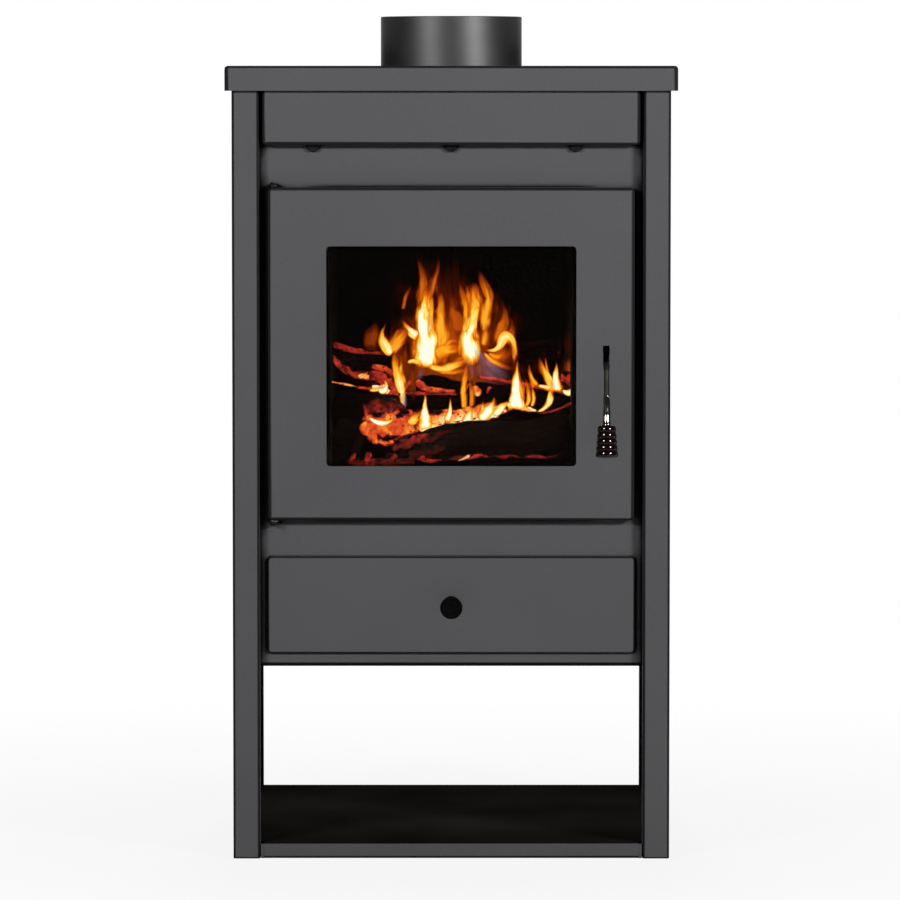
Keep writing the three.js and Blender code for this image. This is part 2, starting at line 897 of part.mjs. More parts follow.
// Air-wash plate: a folded strip that turns the upper air down over the glass
function airWashPlate() {
  const front = plateBack + seat;
  const section = foldedSheet(
    [
      [front, washTop],
      [front, washKnee],
      [front + washSlopeDepth, washKnee - washSlopeDrop],
      [front + washSlopeDepth, washTip],
    ],
    washSheet,
    washSheet,
  );
  const strip = extrudeAcross(section, -washWidth / 2, washWidth / 2);
  const holes = boltPlaces.map((x) =>
    rodBack(boltRadius + seat, 0, plateBack + 2 * overrun).translate(x, 0, boltHeight),
  );
  return cut(strip, ...holes);
}

// Hexagon bolt with its nut, seated on both sides of the plates that it clamps
function airWashBolt(turnDegrees) {
  const headBack = plateFront - seat;
  const nutFront = plateBack + seat + washSheet + seat;
  const head = rodBack(boltHeadRadius, headBack - boltHead, headBack, hexSides);
  const shank = rodBack(boltRadius, headBack - boltHead / 2, nutFront + boltNut);
  const nut = rodBack(boltHeadRadius, nutFront, nutFront + boltNut, hexSides);
  return join(head, shank, nut).rotateY(THREE.MathUtils.degToRad(turnDegrees));
}

function drawerRunner(side) {
  const low = runnerHeight - runnerSheet;
  const points = [
    [side * (liningHalf - runnerWidth), low],
    [side * liningHalf, low],
    [side * liningHalf, low + runnerWall],
  ];
  if (side < 0) points.reverse();
  return extrudeBack(foldedSheet(points, runnerSheet, runnerSheet), runnerFront, runnerBack);
}

// Guide strip under the shelf, with the ledge that the air slide runs on
function airSlideGuide(side) {
  const top = shelfHeight - seat;
  const riser = slideWidth / 2 + guideSideGap;
  const ledgeTop = top - slideSheet - seat;
  const points = [
    [side * (riser + guideFoot), top],
    [side * riser, top],
    [side * riser, ledgeTop],
    [side * (riser - guideLedge), ledgeTop],
  ];
  if (side < 0) points.reverse();
  return extrudeBack(foldedSheet(points, guideSheet, guideSheet), guideFront, guideFront + guideLength);
}

function rearShield() {
  const outline = roundedRectangle(-shieldWidth / 2, shieldBottom, shieldWidth / 2, shieldTop, shieldCorner);
  const front = bodyDepth + seat;
  const columns = Math.floor((shieldWidth - 2 * ventSideMargin) / ventPitch) + 1;
  for (let column = 0; column < columns; column += 1) {
    const x = (column - (columns - 1) / 2) * ventPitch;
    [shieldBottom + ventMargin, shieldTop - ventMargin - ventHeight].forEach((low) => {
      outline.holes.push(
        roundedRectangle(x - ventWidth / 2, low, x + ventWidth / 2, low + ventHeight, ventWidth * slotEndShare),
      );
    });
  }
  return extrude(outline, shieldSheet, slotSteps).rotateX(quarter).translate(0, front + shieldSheet, 0);
}

// Hinge lug: a tongue from the front plate that ends round its pin hole
function hingeLug() {
  const shape = new THREE.Shape();
  shape.moveTo(lugRadius, plateFront - seat - hingeDepth);
  shape.lineTo(-lugRadius, plateFront - seat - hingeDepth);
  shape.lineTo(-lugRadius, 0);
  shape.absarc(0, 0, lugRadius, 2 * quarter, 4 * quarter);
  shape.closePath();
  shape.holes.push(circle(0, 0, hingePinRadius + seat));
  return extrudeUp(shape, 0, lugThickness);
}

// Hinge pin: a headless dowel with chamfered ends
function hingePin(length) {
  const endRadius = hingePinRadius - hingePinChamfer;
  const profile = [
    [0, 0],
    [endRadius, 0],
    [hingePinRadius, hingePinChamfer],
    [hingePinRadius, length - hingePinChamfer],
    [endRadius, length],
    [0, length],
  ].map(([radius, level]) => new THREE.Vector2(radius, level));
  return new THREE.LatheGeometry(profile, pinSides).rotateX(quarter);
}

function hingeWasher() {
  const ring = circle(0, 0, washerRadius);
  ring.holes.push(circle(0, 0, hingePinRadius + seat));
  return extrudeUp(ring, 0, washerThickness);
}

// Door panel: a pressed tray with the window, the latch slot and a hinge pin hole at top and bottom
function doorPanel() {
  const tray = facingFront(pressedTray(doorWidth, doorHeight, doorDepth, doorSheet, doorCorner, doorBend));
  tray.translate(0, 0, doorMiddle);
  const windowShape = roundedRectangle(
    -windowWidth / 2,
    windowBottom,
    windowWidth / 2,
    windowBottom + windowHeight,
    windowCorner,
  );
  const slot = rectangle(
    latchOffset - latchSlotWidth / 2,
    latchHeight - latchSlotDrop,
    latchOffset + latchSlotWidth / 2,
    latchHeight + latchSlotRise,
  );
  const pinHole = rodUp(hingePinRadius + seat, -overrun, 2 * doorSheet);
  return cut(
    tray,
    extrudeBack(windowShape, -overrun, doorDepth),
    extrudeBack(slot, -overrun, doorDepth),
    pinHole.clone().translate(hingeX, hingeDepth, doorBottom),
    pinHole.clone().scale(1, 1, -1).translate(hingeX, hingeDepth, doorTop),
  );
}

function ringShape(half, low, high, corner, width) {
  const outside = roundedRectangle(-half - width / 2, low - width / 2, half + width / 2, high + width / 2, corner);
  const insideCorner = Math.max(corner - width, width / 4);
  outside.holes.push(
    roundedRectangle(-half + width / 2, low + width / 2, half - width / 2, high - width / 2, insideCorner),
  );
  return outside;
}

// Seal channel: a frame behind the door panel with a groove for the rope
function sealChannel() {
  const front = doorSheet + seat;
  const frame = extrudeBack(
    ringShape(sealHalf, sealBottom, sealTop, ropeCorner + channelWall, sealWidth),
    front,
    front + channelDepth,
  );
  const groove = extrudeBack(
    ringShape(sealHalf, sealBottom, sealTop, ropeCorner, sealWidth - 2 * channelWall),
    front + channelWall,
    front + channelDepth + overrun,
  );
  return cut(frame, groove);
}

function ropeSeal() {
  const front = doorSheet + seat + channelWall + seat;
  const back = plateFront - seat;
  const shape = ringShape(sealHalf, sealBottom, sealTop, ropeCorner - seat, ropeWidth);
  return new THREE.ExtrudeGeometry(shape, {
    depth: back - front - 2 * ropeRound,
    bevelSize: ropeRound,
    bevelOffset: -ropeRound,
    bevelThickness: ropeRound,
    bevelSegments: 1,
    curveSegments: arcSteps,
  })
    .rotateX(quarter)
    .translate(0, back - ropeRound, 0);
}

function glassPane() {
  const front = doorSheet + seat + gasketThickness + seat;
  const pane = roundedRectangle(-glassHalf, glassBottom, glassHalf, glassTop, windowCorner);
  return extrudeBack(pane, front, front + glassThickness);
}

function glassGasket() {
  const width = glassLap - gasketInset;
  const half = glassHalf - width / 2;
  const low = glassBottom + width / 2;
  const high = glassTop - width / 2;
  const front = doorSheet + seat;
  return extrudeBack(ringShape(half, low, high, windowCorner, width), front, front + gasketThickness);
}

// Glass clip: a Z-shaped strip with its screw head, from the door panel over the pane's edge
function glassClip(up) {
  const edge = up > 0 ? glassTop : glassBottom;
  const riser = edge + up * clipEdgeGap;
  const foot = doorSheet + seat;
  const tongue = foot + gasketThickness + seat + glassThickness + seat;
  const points = [
    [foot, riser + up * clipFoot],
    [foot, riser],
    [tongue, riser],
    [tongue, edge - up * clipLap],
  ];
  if (up < 0) points.reverse();
  const strip = extrudeAcross(foldedSheet(points, clipSheet, clipSheet), -clipWidth / 2, clipWidth / 2);
  const screwLevel = riser + (up * clipFoot) / 2;
  const head = rodBack(clipScrewRadius, foot + clipSheet / 2, foot + clipSheet + clipScrewHead);
  return join(strip, head.translate(0, 0, screwLevel + (up * clipSheet) / 2));
}

// Latch bracket: a channel behind the door panel that carries the latch pin
function latchBracket() {
  const front = doorSheet + seat - latchDepth;
  const section = foldedSheet(
    [
      [-bracketHalf, front + bracketEar],
      [-bracketHalf, front],
      [bracketHalf, front],
      [bracketHalf, front + bracketEar],
    ],
    bracketSheet,
    bracketSheet,
  );
  const slotHalf = leverThickness / 2 + seat + seat;
  const slot = block(
    [-slotHalf, front - overrun, -latchSlotDrop],
    [slotHalf, front + bracketSheet + seat, bracketRise + overrun],
  );
  const pinHole = rodAcross(latchPinRadius + seat, -bracketHalf - overrun, bracketHalf + overrun);
  return cut(extrudeUp(section, -bracketDrop, bracketRise), slot, pinHole);
}

function latchPin() {
  const half = bracketHalf + latchPinOverhang;
  return rodAcross(latchPinRadius, -half, half);
}

// Path of the handle rod in y and z, from the lever's boss out through the door and down
function rodPath() {
  const path = new THREE.CurvePath();
  const bendCentre = new THREE.Vector3(0, -rodReach, -rodBend);
  const turnSteps = 8;
  const turn = quarter - handleSlant;
  const points = Array.from({ length: turnSteps + 1 }, (_, number) => {
    const angle = (number / turnSteps) * turn;
    const offset = new THREE.Vector3(0, -Math.sin(angle) * rodBend, Math.cos(angle) * rodBend);
    return offset.add(bendCentre);
  });
  const bendEnd = points[turnSteps];
  const down = new THREE.Vector3(0, -Math.sin(handleSlant), -Math.cos(handleSlant));
  const route = [new THREE.Vector3(0, -leverBoss / 2, 0), ...points];
  route.push(bendEnd.clone().addScaledVector(down, rodStraight));
  route.slice(1).forEach((point, number) => path.add(new THREE.LineCurve3(route[number], point)));
  return { path, bendEnd };
}

// Latch lever: hooked plate on the pin, and the rod that is bent down outside the door
function latchLever() {
  const leverTail = plateBack + leverHookGap + noseLength - latchDepth;
  const plate = new THREE.Shape();
  plate.moveTo(0, -leverBoss);
  plate.lineTo(leverTail, -leverNeck);
  plate.lineTo(leverTail, noseRise - noseLength / 2);
  plate.lineTo(leverTail - noseLength / 2, noseRise);
  plate.lineTo(leverTail - noseLength, noseRise);
  plate.lineTo(leverTail - noseLength, leverNeck);
  plate.lineTo(0, leverBoss);
  plate.absarc(0, 0, leverBoss, quarter, 3 * quarter);
  plate.holes.push(circle(0, 0, latchPinRadius + seat));
  const hook = extrudeAcross(plate, -leverThickness / 2, leverThickness / 2);
  const { path, bendEnd } = rodPath();
  const sweep = new THREE.ExtrudeGeometry(circle(0, 0, rodRadius, rodSides), {
    steps: rodSteps,
    bevelEnabled: false,
    extrudePath: path,
  });
  const spigotLength = rodStraight + ferruleLength + spigotDepth;
  const spigot = rodUp(spigotRadius, -spigotLength, -rodStraight / 2, rodSides)
    .rotateX(-handleSlant)
    .translate(0, bendEnd.y, bendEnd.z);
  const boreKeeper = rodAcross(latchPinRadius + seat, -leverBoss, leverBoss);
  return cut(join(hook, sweep, spigot), boreKeeper);
}

function latchFerrule() {
  const bore = spigotRadius + seat;
  const waistRadius = THREE.MathUtils.lerp(ferruleTopRadius, ferruleBottomRadius, waistRadiusShare);
  const length = ferruleLength - 2 * seat;
  const profile = [
    [bore, 0],
    [ferruleTopRadius, 0],
    [waistRadius, -length * waistHeightShare],
    [ferruleBottomRadius, -length],
    [bore, -length],
    [bore, 0],
  ].map(([radius, level]) => new THREE.Vector2(radius, level));
  return new THREE.LatheGeometry(profile, pinSides).rotateX(quarter);
}

// Ringed grip: a tapered body turned with round beads, bored from its narrow end
function ringedGrip(boreRadius, boreDepth) {
  const pitch = gripLength / gripRings;
  const profile = [new THREE.Vector2(boreRadius, 0)];
  for (let ring = 0; ring < gripRings; ring += 1) {
    for (let step = 0; step <= gripRingSteps; step += 1) {
      const around = (step / gripRingSteps) * 2 * quarter;
      const share = (ring + (1 - Math.cos(around)) / 2) / gripRings;
      const crest = THREE.MathUtils.lerp(gripTopRadius, gripBottomRadius, share);
      const isValley = step === gripRingSteps && ring < gripRings - 1;
      if (!isValley) {
        const radius = crest - gripGroove * (1 - Math.sin(around));
        profile.push(new THREE.Vector2(radius, -share * gripRings * pitch));
      }
    }
  }
  profile.push(new THREE.Vector2(gripBottomRadius / 2, -gripLength + gripDish));
  profile.push(new THREE.Vector2(0, -gripLength + gripDish));
  profile.push(new THREE.Vector2(0, -boreDepth));
  profile.push(new THREE.Vector2(boreRadius, -boreDepth));
  profile.push(new THREE.Vector2(boreRadius, 0));
  return new THREE.LatheGeometry(profile, gripSides).rotateX(quarter);
}

function drawerFront() {
  const tray = facingFront(
    pressedTray(drawerFrontWidth, drawerFrontHeight, drawerFrontDepth, drawerSheet, drawerCorner, drawerBend),
  );
  return cut(tray, rodBack(knobScrewRadius + seat, -overrun, drawerFrontDepth + overrun));
}

// Ash pan: a folded floor, sides and back, with a narrow rim turned out at the top
function ashPan() {
  const half = panWidth / 2;
  const inner = half - drawerSheet;
  const ahead = -panCorner;
  const body = extrudeUp(roundedRectangle(-half, ahead, half, panLength, panCorner), 0, panHeight);
  const rimOutline = roundedRectangle(-half - panRim, ahead, half + panRim, panLength + panRim, panCorner);
  const rim = extrudeUp(rimOutline, panHeight - panRimThickness, panHeight);
  const hollow = roundedRectangle(-inner, 2 * ahead, inner, panLength - drawerSheet, panCorner - drawerSheet);
  const trimmed = block([-panWidth, 2 * ahead, -overrun], [panWidth, 0, panHeight + overrun]);
  return cut(join(body, rim), extrudeUp(hollow, drawerSheet, panHeight + overrun), trimmed);
}

// Front sheet of the ash pan: welded between its sides, with the hole for the knob screw
function ashPanFront() {
  const half = panWidth / 2 - drawerSheet - seat;
  const sheet = block([-half, 0, drawerSheet + seat], [half, drawerSheet, panHeight]);
  const screwLevel = drawerFrontBottom + drawerFrontHeight / 2 - runnerHeight - seat;
  return cut(sheet, rodBack(knobScrewRadius + seat, -overrun, 2 * overrun).translate(0, 0, screwLevel));
}

// Knob screw: its head lies inside the ash pan and its shank holds the knob
function knobScrew() {
  const headFront = plateFront + drawerSheet + seat;
  const shankFront = drawerFrontFace - seat - knobScrewDepth;
  const shank = rodBack(knobScrewRadius, shankFront, headFront + knobScrewHead / 2);
  const head = rodBack(knobScrewHeadRadius, headFront, headFront + knobScrewHead);
  return join(shank, head);
}

// Air slide: a slotted plate with a finger tab bent down at its front
function airSlide() {
  const top = shelfHeight - seat;
  const plate = block([-slideWidth / 2, slideFront, top - slideSheet], [slideWidth / 2, slideFront + slideLength, top]);
  const tab = block(
    [-slideTabWidth / 2, slideFront, top - slideSheet - slideTab],
    [slideTabWidth / 2, slideFront + slideSheet, top - slideSheet / 2],
  );
  return cut(join(plate, tab), ...airSlotCutters(slideFront, top - slideSheet - overrun, top + overrun));
}

function makeCabinet() {
  const cabinet = new THREE.Group();
  const capCentre = bodyDepth / 2;
  const fasciaMiddle = (fasciaBottom + panelTop) / 2;
  cabinet.add(
    piece("left_side_panel", sidePanel(-1), "paint"),
    piece("right_side_panel", sidePanel(1), "paint"),
    piece("top_cap", topCap(), "paint", 0, capCentre, capTop),
    piece("flue_collar", flueCollar(), "darkPaint", 0, flueCentreDepth, roofTop + seat),
    piece("fascia_panel", fasciaPanel(), "paint", 0, 0, fasciaMiddle),
    piece("front_plate", frontPlate(), "paint"),
    piece("base_plate", basePlate(), "paint"),
    piece("shelf_plate", shelfPlate(), "paint"),
    piece("firebox_shell", fireboxShell(), "rawSteel"),
    piece("firebox_roof", fireboxRoof(), "rawSteel"),
    piece("baffle_plate", bafflePlate(), "rawSteel"),
    piece("hearth_plate", hearthPlate(), "rawSteel"),
    piece("grate", grate(), "castIron", 0, hearthHoleCentre, hearthTop + seat),
    piece("log_fence", logFence(), "rawSteel"),
    piece("airwash_plate", airWashPlate(), "rawSteel"),
    piece("rear_shield", rearShield(), "paint"),
    ...firebricks(),
  );
  boltPlaces.forEach((x, number) => {
    const name = `airwash_bolt_${boltNames[number]}`;
    cabinet.add(piece(name, airWashBolt(boltTurns[number]), "blackSteel", x, 0, boltHeight));
  });
  [["left", -1], ["right", 1]].forEach(([name, side]) => {
    cabinet.add(
      piece(`hearth_ledge_${name}`, hearthLedge(side), "rawSteel"),
      piece(`drawer_runner_${name}`, drawerRunner(side), "rawSteel"),
      piece(`air_slide_guide_${name}`, airSlideGuide(side), "rawSteel"),
    );
  });
  return cabinet;
}

// Height of each lug's underside, above and below the door
function lugLevels() {
  const upper = doorTop + seat;
  const lower = doorBottom - seat - washerThickness - seat - lugThickness;
  return { upper, lower };
}

function makeHinges() {
  const hinges = new THREE.Group();
  hinges.position.set(hingeX, hingeDepth, 0);
  const { upper, lower } = lugLevels();
  hinges.add(
    piece("hinge_lug_upper", hingeLug(), "blackSteel", 0, 0, upper),
    piece("hinge_lug_lower", hingeLug(), "blackSteel", 0, 0, lower),
    piece("hinge_washer", hingeWasher(), "rawSteel", 0, 0, lower + lugThickness + seat),
  );
  return hinges;
}

// Each pin is fixed in the door's edge and turns in its lug
function makeHingePins() {
  const { upper, lower } = lugLevels();
  const upperFoot = doorTop - hingePinReach;
  const upperPin = hingePin(upper + lugThickness - upperFoot);
  const lowerPin = hingePin(doorBottom + hingePinReach - lower);
  return [
    piece("hinge_pin_upper", upperPin, "blackSteel", hingeX, hingeDepth, upperFoot),
    piece("hinge_pin_lower", lowerPin, "blackSteel", hingeX, hingeDepth, lower),
  ];
}

function makeDoor() {
  const door = new THREE.Group();
  door.add(
    piece("door_panel", doorPanel(), "paint"),
    piece("door_seal_channel", sealChannel(), "rawSteel"),
    piece("door_rope_seal", ropeSeal(), "rope"),
    piece("glass_gasket", glassGasket(), "rope"),
    piece("door_glass", glassPane(), "glass"),
    piece("latch_bracket", latchBracket(), "rawSteel", latchOffset, latchDepth, latchHeight),
    piece("latch_pin", latchPin(), "blackSteel", latchOffset, latchDepth, latchHeight),
    ...makeHingePins(),
  );
  [["upper", 1], ["lower", -1]].forEach(([level, up]) => {
    [["left", -1], ["right", 1]].forEach(([side, sign]) => {
      door.add(piece(`glass_clip_${level}_${side}`, glassClip(up), "rawSteel", sign * clipOffset));
    });
  });
  door.add(makeLatch());
  return door;
}

function makeLatch() {
  const latch = new THREE.Group();
  latch.position.set(latchOffset, latchDepth, latchHeight);
  const { bendEnd } = rodPath();
  const handle = new THREE.Group();
  handle.position.copy(bendEnd);
  handle.rotation.x = -handleSlant;
  const ferruleTop = -rodStraight - seat;
  const gripTop = -rodStraight - ferruleLength;
  const grip = ringedGrip(spigotRadius + seat, spigotDepth + seat);
  handle.add(
    piece("latch_ferrule", latchFerrule(), "chrome", 0, 0, ferruleTop),
    piece("latch_grip", grip, "bakelite", 0, 0, gripTop),
  );
  latch.add(piece("latch_lever", latchLever(), "blackSteel"), handle);
  return latch;
}

function makeDrawer() {
  const drawer = new THREE.Group();
  const frontMiddle = drawerFrontBottom + drawerFrontHeight / 2;
  const knob = piece("drawer_knob", ringedGrip(knobScrewRadius + seat, knobScrewDepth + seat), "bakelite");
  knob.position.set(0, drawerFrontFace - seat, frontMiddle);
  knob.rotation.x = -quarter;
  drawer.add(
    piece("drawer_front", drawerFront(), "paint", 0, drawerFrontFace, frontMiddle),
    piece("ash_pan", ashPan(), "rawSteel", 0, plateFront, runnerHeight + seat),
    piece("ash_pan_front", ashPanFront(), "rawSteel", 0, plateFront, runnerHeight + seat),
    knob,
    piece("knob_screw", knobScrew(), "blackSteel", 0, 0, frontMiddle),
  );
  return drawer;
}

// The origin lies on the floor under the middle of the stove, handle included
function centredDepth() {
  const { bendEnd } = rodPath();
  const along = rodStraight + ferruleLength + gripLength;
  const gripEnd = latchDepth + bendEnd.y - along * Math.sin(handleSlant);
  const front = gripEnd - gripBottomRadius * Math.cos(handleSlant);
  const back = bodyDepth + capOverhang;
  return (front + back) / 2;
}

const stove = new THREE.Group();
stove.add(makeCabinet(), makeHinges(), makeDoor(), makeDrawer(), piece("air_slide", airSlide(), "rawSteel"));
stove.position.y = -centredDepth();

export default stove;
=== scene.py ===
"""Looks of the wood stove: paint, metals, glass, brick, the fire and the fine pieces."""

import json
import math

import bpy
from mathutils import Matrix, Vector, noise


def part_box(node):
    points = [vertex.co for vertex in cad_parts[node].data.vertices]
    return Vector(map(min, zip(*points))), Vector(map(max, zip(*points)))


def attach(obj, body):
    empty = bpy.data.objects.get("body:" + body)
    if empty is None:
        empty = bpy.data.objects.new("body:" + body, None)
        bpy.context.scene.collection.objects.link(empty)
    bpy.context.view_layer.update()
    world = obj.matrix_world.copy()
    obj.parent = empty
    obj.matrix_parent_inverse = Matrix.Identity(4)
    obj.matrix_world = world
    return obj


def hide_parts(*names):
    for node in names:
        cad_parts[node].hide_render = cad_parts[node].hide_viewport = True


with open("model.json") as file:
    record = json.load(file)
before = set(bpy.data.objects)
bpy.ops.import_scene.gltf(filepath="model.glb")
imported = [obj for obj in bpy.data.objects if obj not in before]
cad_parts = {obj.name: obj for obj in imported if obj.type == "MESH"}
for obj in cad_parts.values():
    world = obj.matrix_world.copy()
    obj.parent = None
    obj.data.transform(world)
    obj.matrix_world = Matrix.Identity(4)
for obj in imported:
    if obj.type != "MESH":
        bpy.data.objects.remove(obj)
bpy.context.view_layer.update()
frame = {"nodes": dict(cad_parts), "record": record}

MM = 0.001
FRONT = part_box("left_side_panel")[0].y

# Camera, in millimetres of the stove and in degrees
CAMERA_REACH = 4650
CAMERA_HEIGHT = 681.6
CAMERA_DIP = 3.9
LENS_LENGTH = 210.49
LENS_SHIFT = -0.00144
FIRE_DEPTH = 100

# Strength of the world for matt surfaces, and for what metal mirrors in front of the stove
AMBIENT = 0.02
STUDIO_FRONT = 0.03

# Lamps and floor, in metres; the front lamps aim high, so that the stove is in the soft edge of their light
LAMP_HEIGHT = 1.36
LAMP_WIDTH = 0.6
LAMP_DEPTH = 0.5
FRONT_AIM = 3.2
REAR_AIM = 0.4
FLOOR_REACH = 9.0

# Points of a solid nearer than this are one, and its edges sharper than this stay sharp
SAME_POINT = 0.000002
SHARP_EDGE = math.radians(32)


def at(x, y, z):
    """A point given in millimetres, with y counted back from the stove's front face."""
    return Vector((x * MM, FRONT + y * MM, z * MM))


def in_view(x, z, depth):
    """The point at a depth that the camera sees where (x, z) lies in the plane of the fire."""
    grow = (CAMERA_REACH + depth) / (CAMERA_REACH + FIRE_DEPTH)
    return at(x * grow, depth, CAMERA_HEIGHT + (z - CAMERA_HEIGHT) * grow)


# Node helpers

MATERIALS = {}


class Nodes:
    """A node tree, built up by short calls."""

    def __init__(self, tree):
        self.tree = tree
        self.place = self.node("ShaderNodeTexCoord").outputs["Object"]

    def node(self, kind, inputs=None, **settings):
        made = self.tree.nodes.new(kind)
        for key, value in settings.items():
            setattr(made, key, value)
        for key, value in (inputs or {}).items():
            self.put(made.inputs[key], value)
        return made

    def put(self, socket, value):
        if isinstance(value, bpy.types.NodeSocket):
            self.tree.links.new(value, socket)
        else:
            socket.default_value = value

    def uv(self):
        return self.node("ShaderNodeTexCoord").outputs["UV"]

    def stretch(self, vector, scale):
        return self.node("ShaderNodeMapping", {"Vector": vector, "Scale": scale}).outputs[0]

    def noise(self, vector, scale, detail=2.0, roughness=0.5, distortion=0.0):
        inputs = {"Vector": vector, "Scale": scale, "Detail": detail}
        inputs |= {"Roughness": roughness, "Distortion": distortion}
        return self.node("ShaderNodeTexNoise", inputs).outputs[0]

    def cells(self, vector, scale, feature="DISTANCE_TO_EDGE"):
        inputs = {"Vector": vector, "Scale": scale}
        return self.node("ShaderNodeTexVoronoi", inputs, feature=feature).outputs["Distance"]

    def math(self, operation, first, second=0.0, clamp=False):
        made = self.node("ShaderNodeMath", operation=operation, use_clamp=clamp)
        self.put(made.inputs[0], first)
        self.put(made.inputs[1], second)
        return made.outputs[0]

    def plus(self, first, second):
        return self.math("ADD", first, second)

    def times(self, first, second, clamp=False):
        return self.math("MULTIPLY", first, second, clamp)

    def span(self, value, low, high, to_low=0.0, to_high=1.0):
        """The value, with low laid on to_low and high on to_high, and held at those ends beyond them."""
        inputs = {"Value": value, "From Min": low, "From Max": high, "To Min": to_low, "To Max": to_high}
        return self.node("ShaderNodeMapRange", inputs).outputs[0]

    def ramp(self, value, stops):
        made = self.node("ShaderNodeValToRGB", {"Fac": value})
        elements = made.color_ramp.elements
        while len(elements) < len(stops):
            elements.new(0.5)
        for element, (position, colour) in zip(elements, stops):
            element.position = position
            element.color = (*colour, 1.0)
        return made.outputs[0]

    def mix(self, factor, first, second):
        """The first colour where the factor is 0, and the second where it is 1."""
        made = self.node("ShaderNodeMix", data_type="RGBA")
        for socket, value in zip((made.inputs[0], made.inputs[6], made.inputs[7]), (factor, first, second)):
            if isinstance(value, tuple) and len(value) == 3:
                value = (*value, 1.0)
            self.put(socket, value)
        return made.outputs[2]

    def bump(self, height, distance, strength=1.0, below=None):
        made = self.node("ShaderNodeBump", {"Height": height, "Distance": distance, "Strength": strength})
        if below is not None:
            self.put(made.inputs["Normal"], below)
        return made.outputs[0]

    def bend_vector(self, vector, value, reach):
        """The vector, pushed along by a value between 0 and 1."""
        push = self.span(value, 0.0, 1.0, -reach, reach)
        offset = self.node("ShaderNodeCombineXYZ", {"X": push, "Y": push, "Z": push}).outputs[0]
        added = self.node("ShaderNodeVectorMath", operation="ADD")
        self.put(added.inputs[0], vector)
        self.put(added.inputs[1], offset)
        return added.outputs[0]

    def part(self, vector, axis):
        return self.node("ShaderNodeSeparateXYZ", {"Vector": vector}).outputs[axis]

    def attribute(self, name):
        return self.node("ShaderNodeAttribute", attribute_name=name).outputs["Fac"]

    def bends(self):
        """1 on rounded bends and corners, where the surface faces along none of the object's axes."""
        normal = self.node("ShaderNodeTexCoord").outputs["Normal"]
        sizes = [self.math("ABSOLUTE", self.part(normal, axis)) for axis in range(3)]
        widest = self.math("MAXIMUM", self.math("MAXIMUM", sizes[0], sizes[1]), sizes[2])
        return self.span(widest, 0.99, 0.93)

    def crevice(self, reach):
        """How open the place is to what lies around it within reach: nearly 0 down in a gap."""
        return self.node("ShaderNodeAmbientOcclusion", {"Distance": reach}).outputs["AO"]

    def round_edges(self, radius):
        return self.node("ShaderNodeBevel", {"Radius": radius}, samples=4).outputs[0]


class Shader(Nodes):
    """A material with one Principled shader, kept under its name in MATERIALS."""

    def __init__(self, name):
        material = bpy.data.materials.new(name)
        material.use_nodes = True
        super().__init__(material.node_tree)
        self.surface = self.tree.nodes["Principled BSDF"]
        MATERIALS[name] = material

    def set(self, **values):
        for key, value in values.items():
            self.put(self.surface.inputs[key.replace("_", " ")], value)


# Materials

# How far round a place other metal casts painted shade on the paint, and over how much height the painted
# shadow at the paint's foot fades, in metres
PAINTED_SHADE_REACH = 0.015
PAINTED_SHADOW_FADE = 0.0009


def stove_paint(name="stove_paint", painted_shade_on_top=False, painted_shadow_below=0.0016, shade=(0.55, 0.3)):
    """Matte anthracite paint with fine grain and faint clouds, with painted shade on its bends, a painted
    shadow at its foot and painted shade in crevices.

    With the flag for the top set, what faces upwards is painted near black with faint clouds: painted shade,
    as in the wood bay. The shade is how open a place is where it keeps its full colour, and where it is
    painted black as shade.
    """
    s = Shader(name)
    grain = s.noise(s.place, 1500.0, 2.0)
    cloud = s.noise(s.place, 7.0, 3.0)
    speck = s.noise(s.place, 420.0, 1.0)
    tone = s.mix(s.span(cloud, 0.3, 0.7), (0.104, 0.1025, 0.108), (0.113, 0.1115, 0.117))
    tone = s.mix(s.span(speck, 0.62, 0.75, 0.0, 0.25), tone, (0.15, 0.15, 0.155))
    tone = s.mix(s.span(grain, 0.3, 0.7, 0.0, 0.25), tone, (0.09, 0.09, 0.093))
    if painted_shade_on_top:
        # Painted shade: faces turned upwards are painted near black, for the shade in the wood bay
        up = s.part(s.node("ShaderNodeTexCoord").outputs["Normal"], 2)
        top_shade_tone = s.mix(s.span(cloud, 0.35, 0.65), (0.011, 0.01, 0.009), (0.02, 0.018, 0.016))
        tone = s.mix(s.span(up, 0.8, 0.95), tone, top_shade_tone)
    else:
        # Painted shade: rounded bends are painted near black, as if little light reached them
        tone = s.mix(s.times(s.bends(), 0.9), tone, (0.006, 0.006, 0.007))
    # Painted shadow: the paint's lowest stretch goes near black, as a shadow along its foot
    tone = s.mix(s.span(s.part(s.place, 2), painted_shadow_below, painted_shadow_below - PAINTED_SHADOW_FADE), tone, (0.002, 0.002, 0.002))
    # Painted shade: where nearby metal closes a place in, the paint goes near black
    tone = s.mix(s.span(s.crevice(PAINTED_SHADE_REACH), *shade), tone, (0.001, 0.001, 0.001))
    s.set(Base_Color=tone, Roughness=s.span(cloud, 0.3, 0.7, 0.6, 0.7))
    s.set(Specular_IOR_Level=0.0 if painted_shade_on_top else 0.12)
    fine = s.bump(grain, 0.00005, 0.5, s.round_edges(0.0005))
    s.set(Normal=s.bump(speck, 0.00006, 0.3, fine))


def collar_paint():
    """The collar's black graphite paint, which shines softly, with faint turning marks round it."""
    s = Shader("collar_paint")
    marks = s.noise(s.stretch(s.place, (6.0, 6.0, 420.0)), 3.0, 2.0)
    grain = s.noise(s.place, 1200.0, 2.0)
    cloud = s.noise(s.place, 16.0, 3.0)
    tone = s.mix(s.span(cloud, 0.3, 0.7), (0.1, 0.1, 0.103), (0.12, 0.1195, 0.121))
    s.set(Base_Color=tone, Roughness=s.span(marks, 0.3, 0.7, 0.45, 0.5), Metallic=0.95)
    fine = s.bump(grain, 0.00004, 0.4)
    s.set(Normal=s.bump(marks, 0.00004, 0.3, fine))


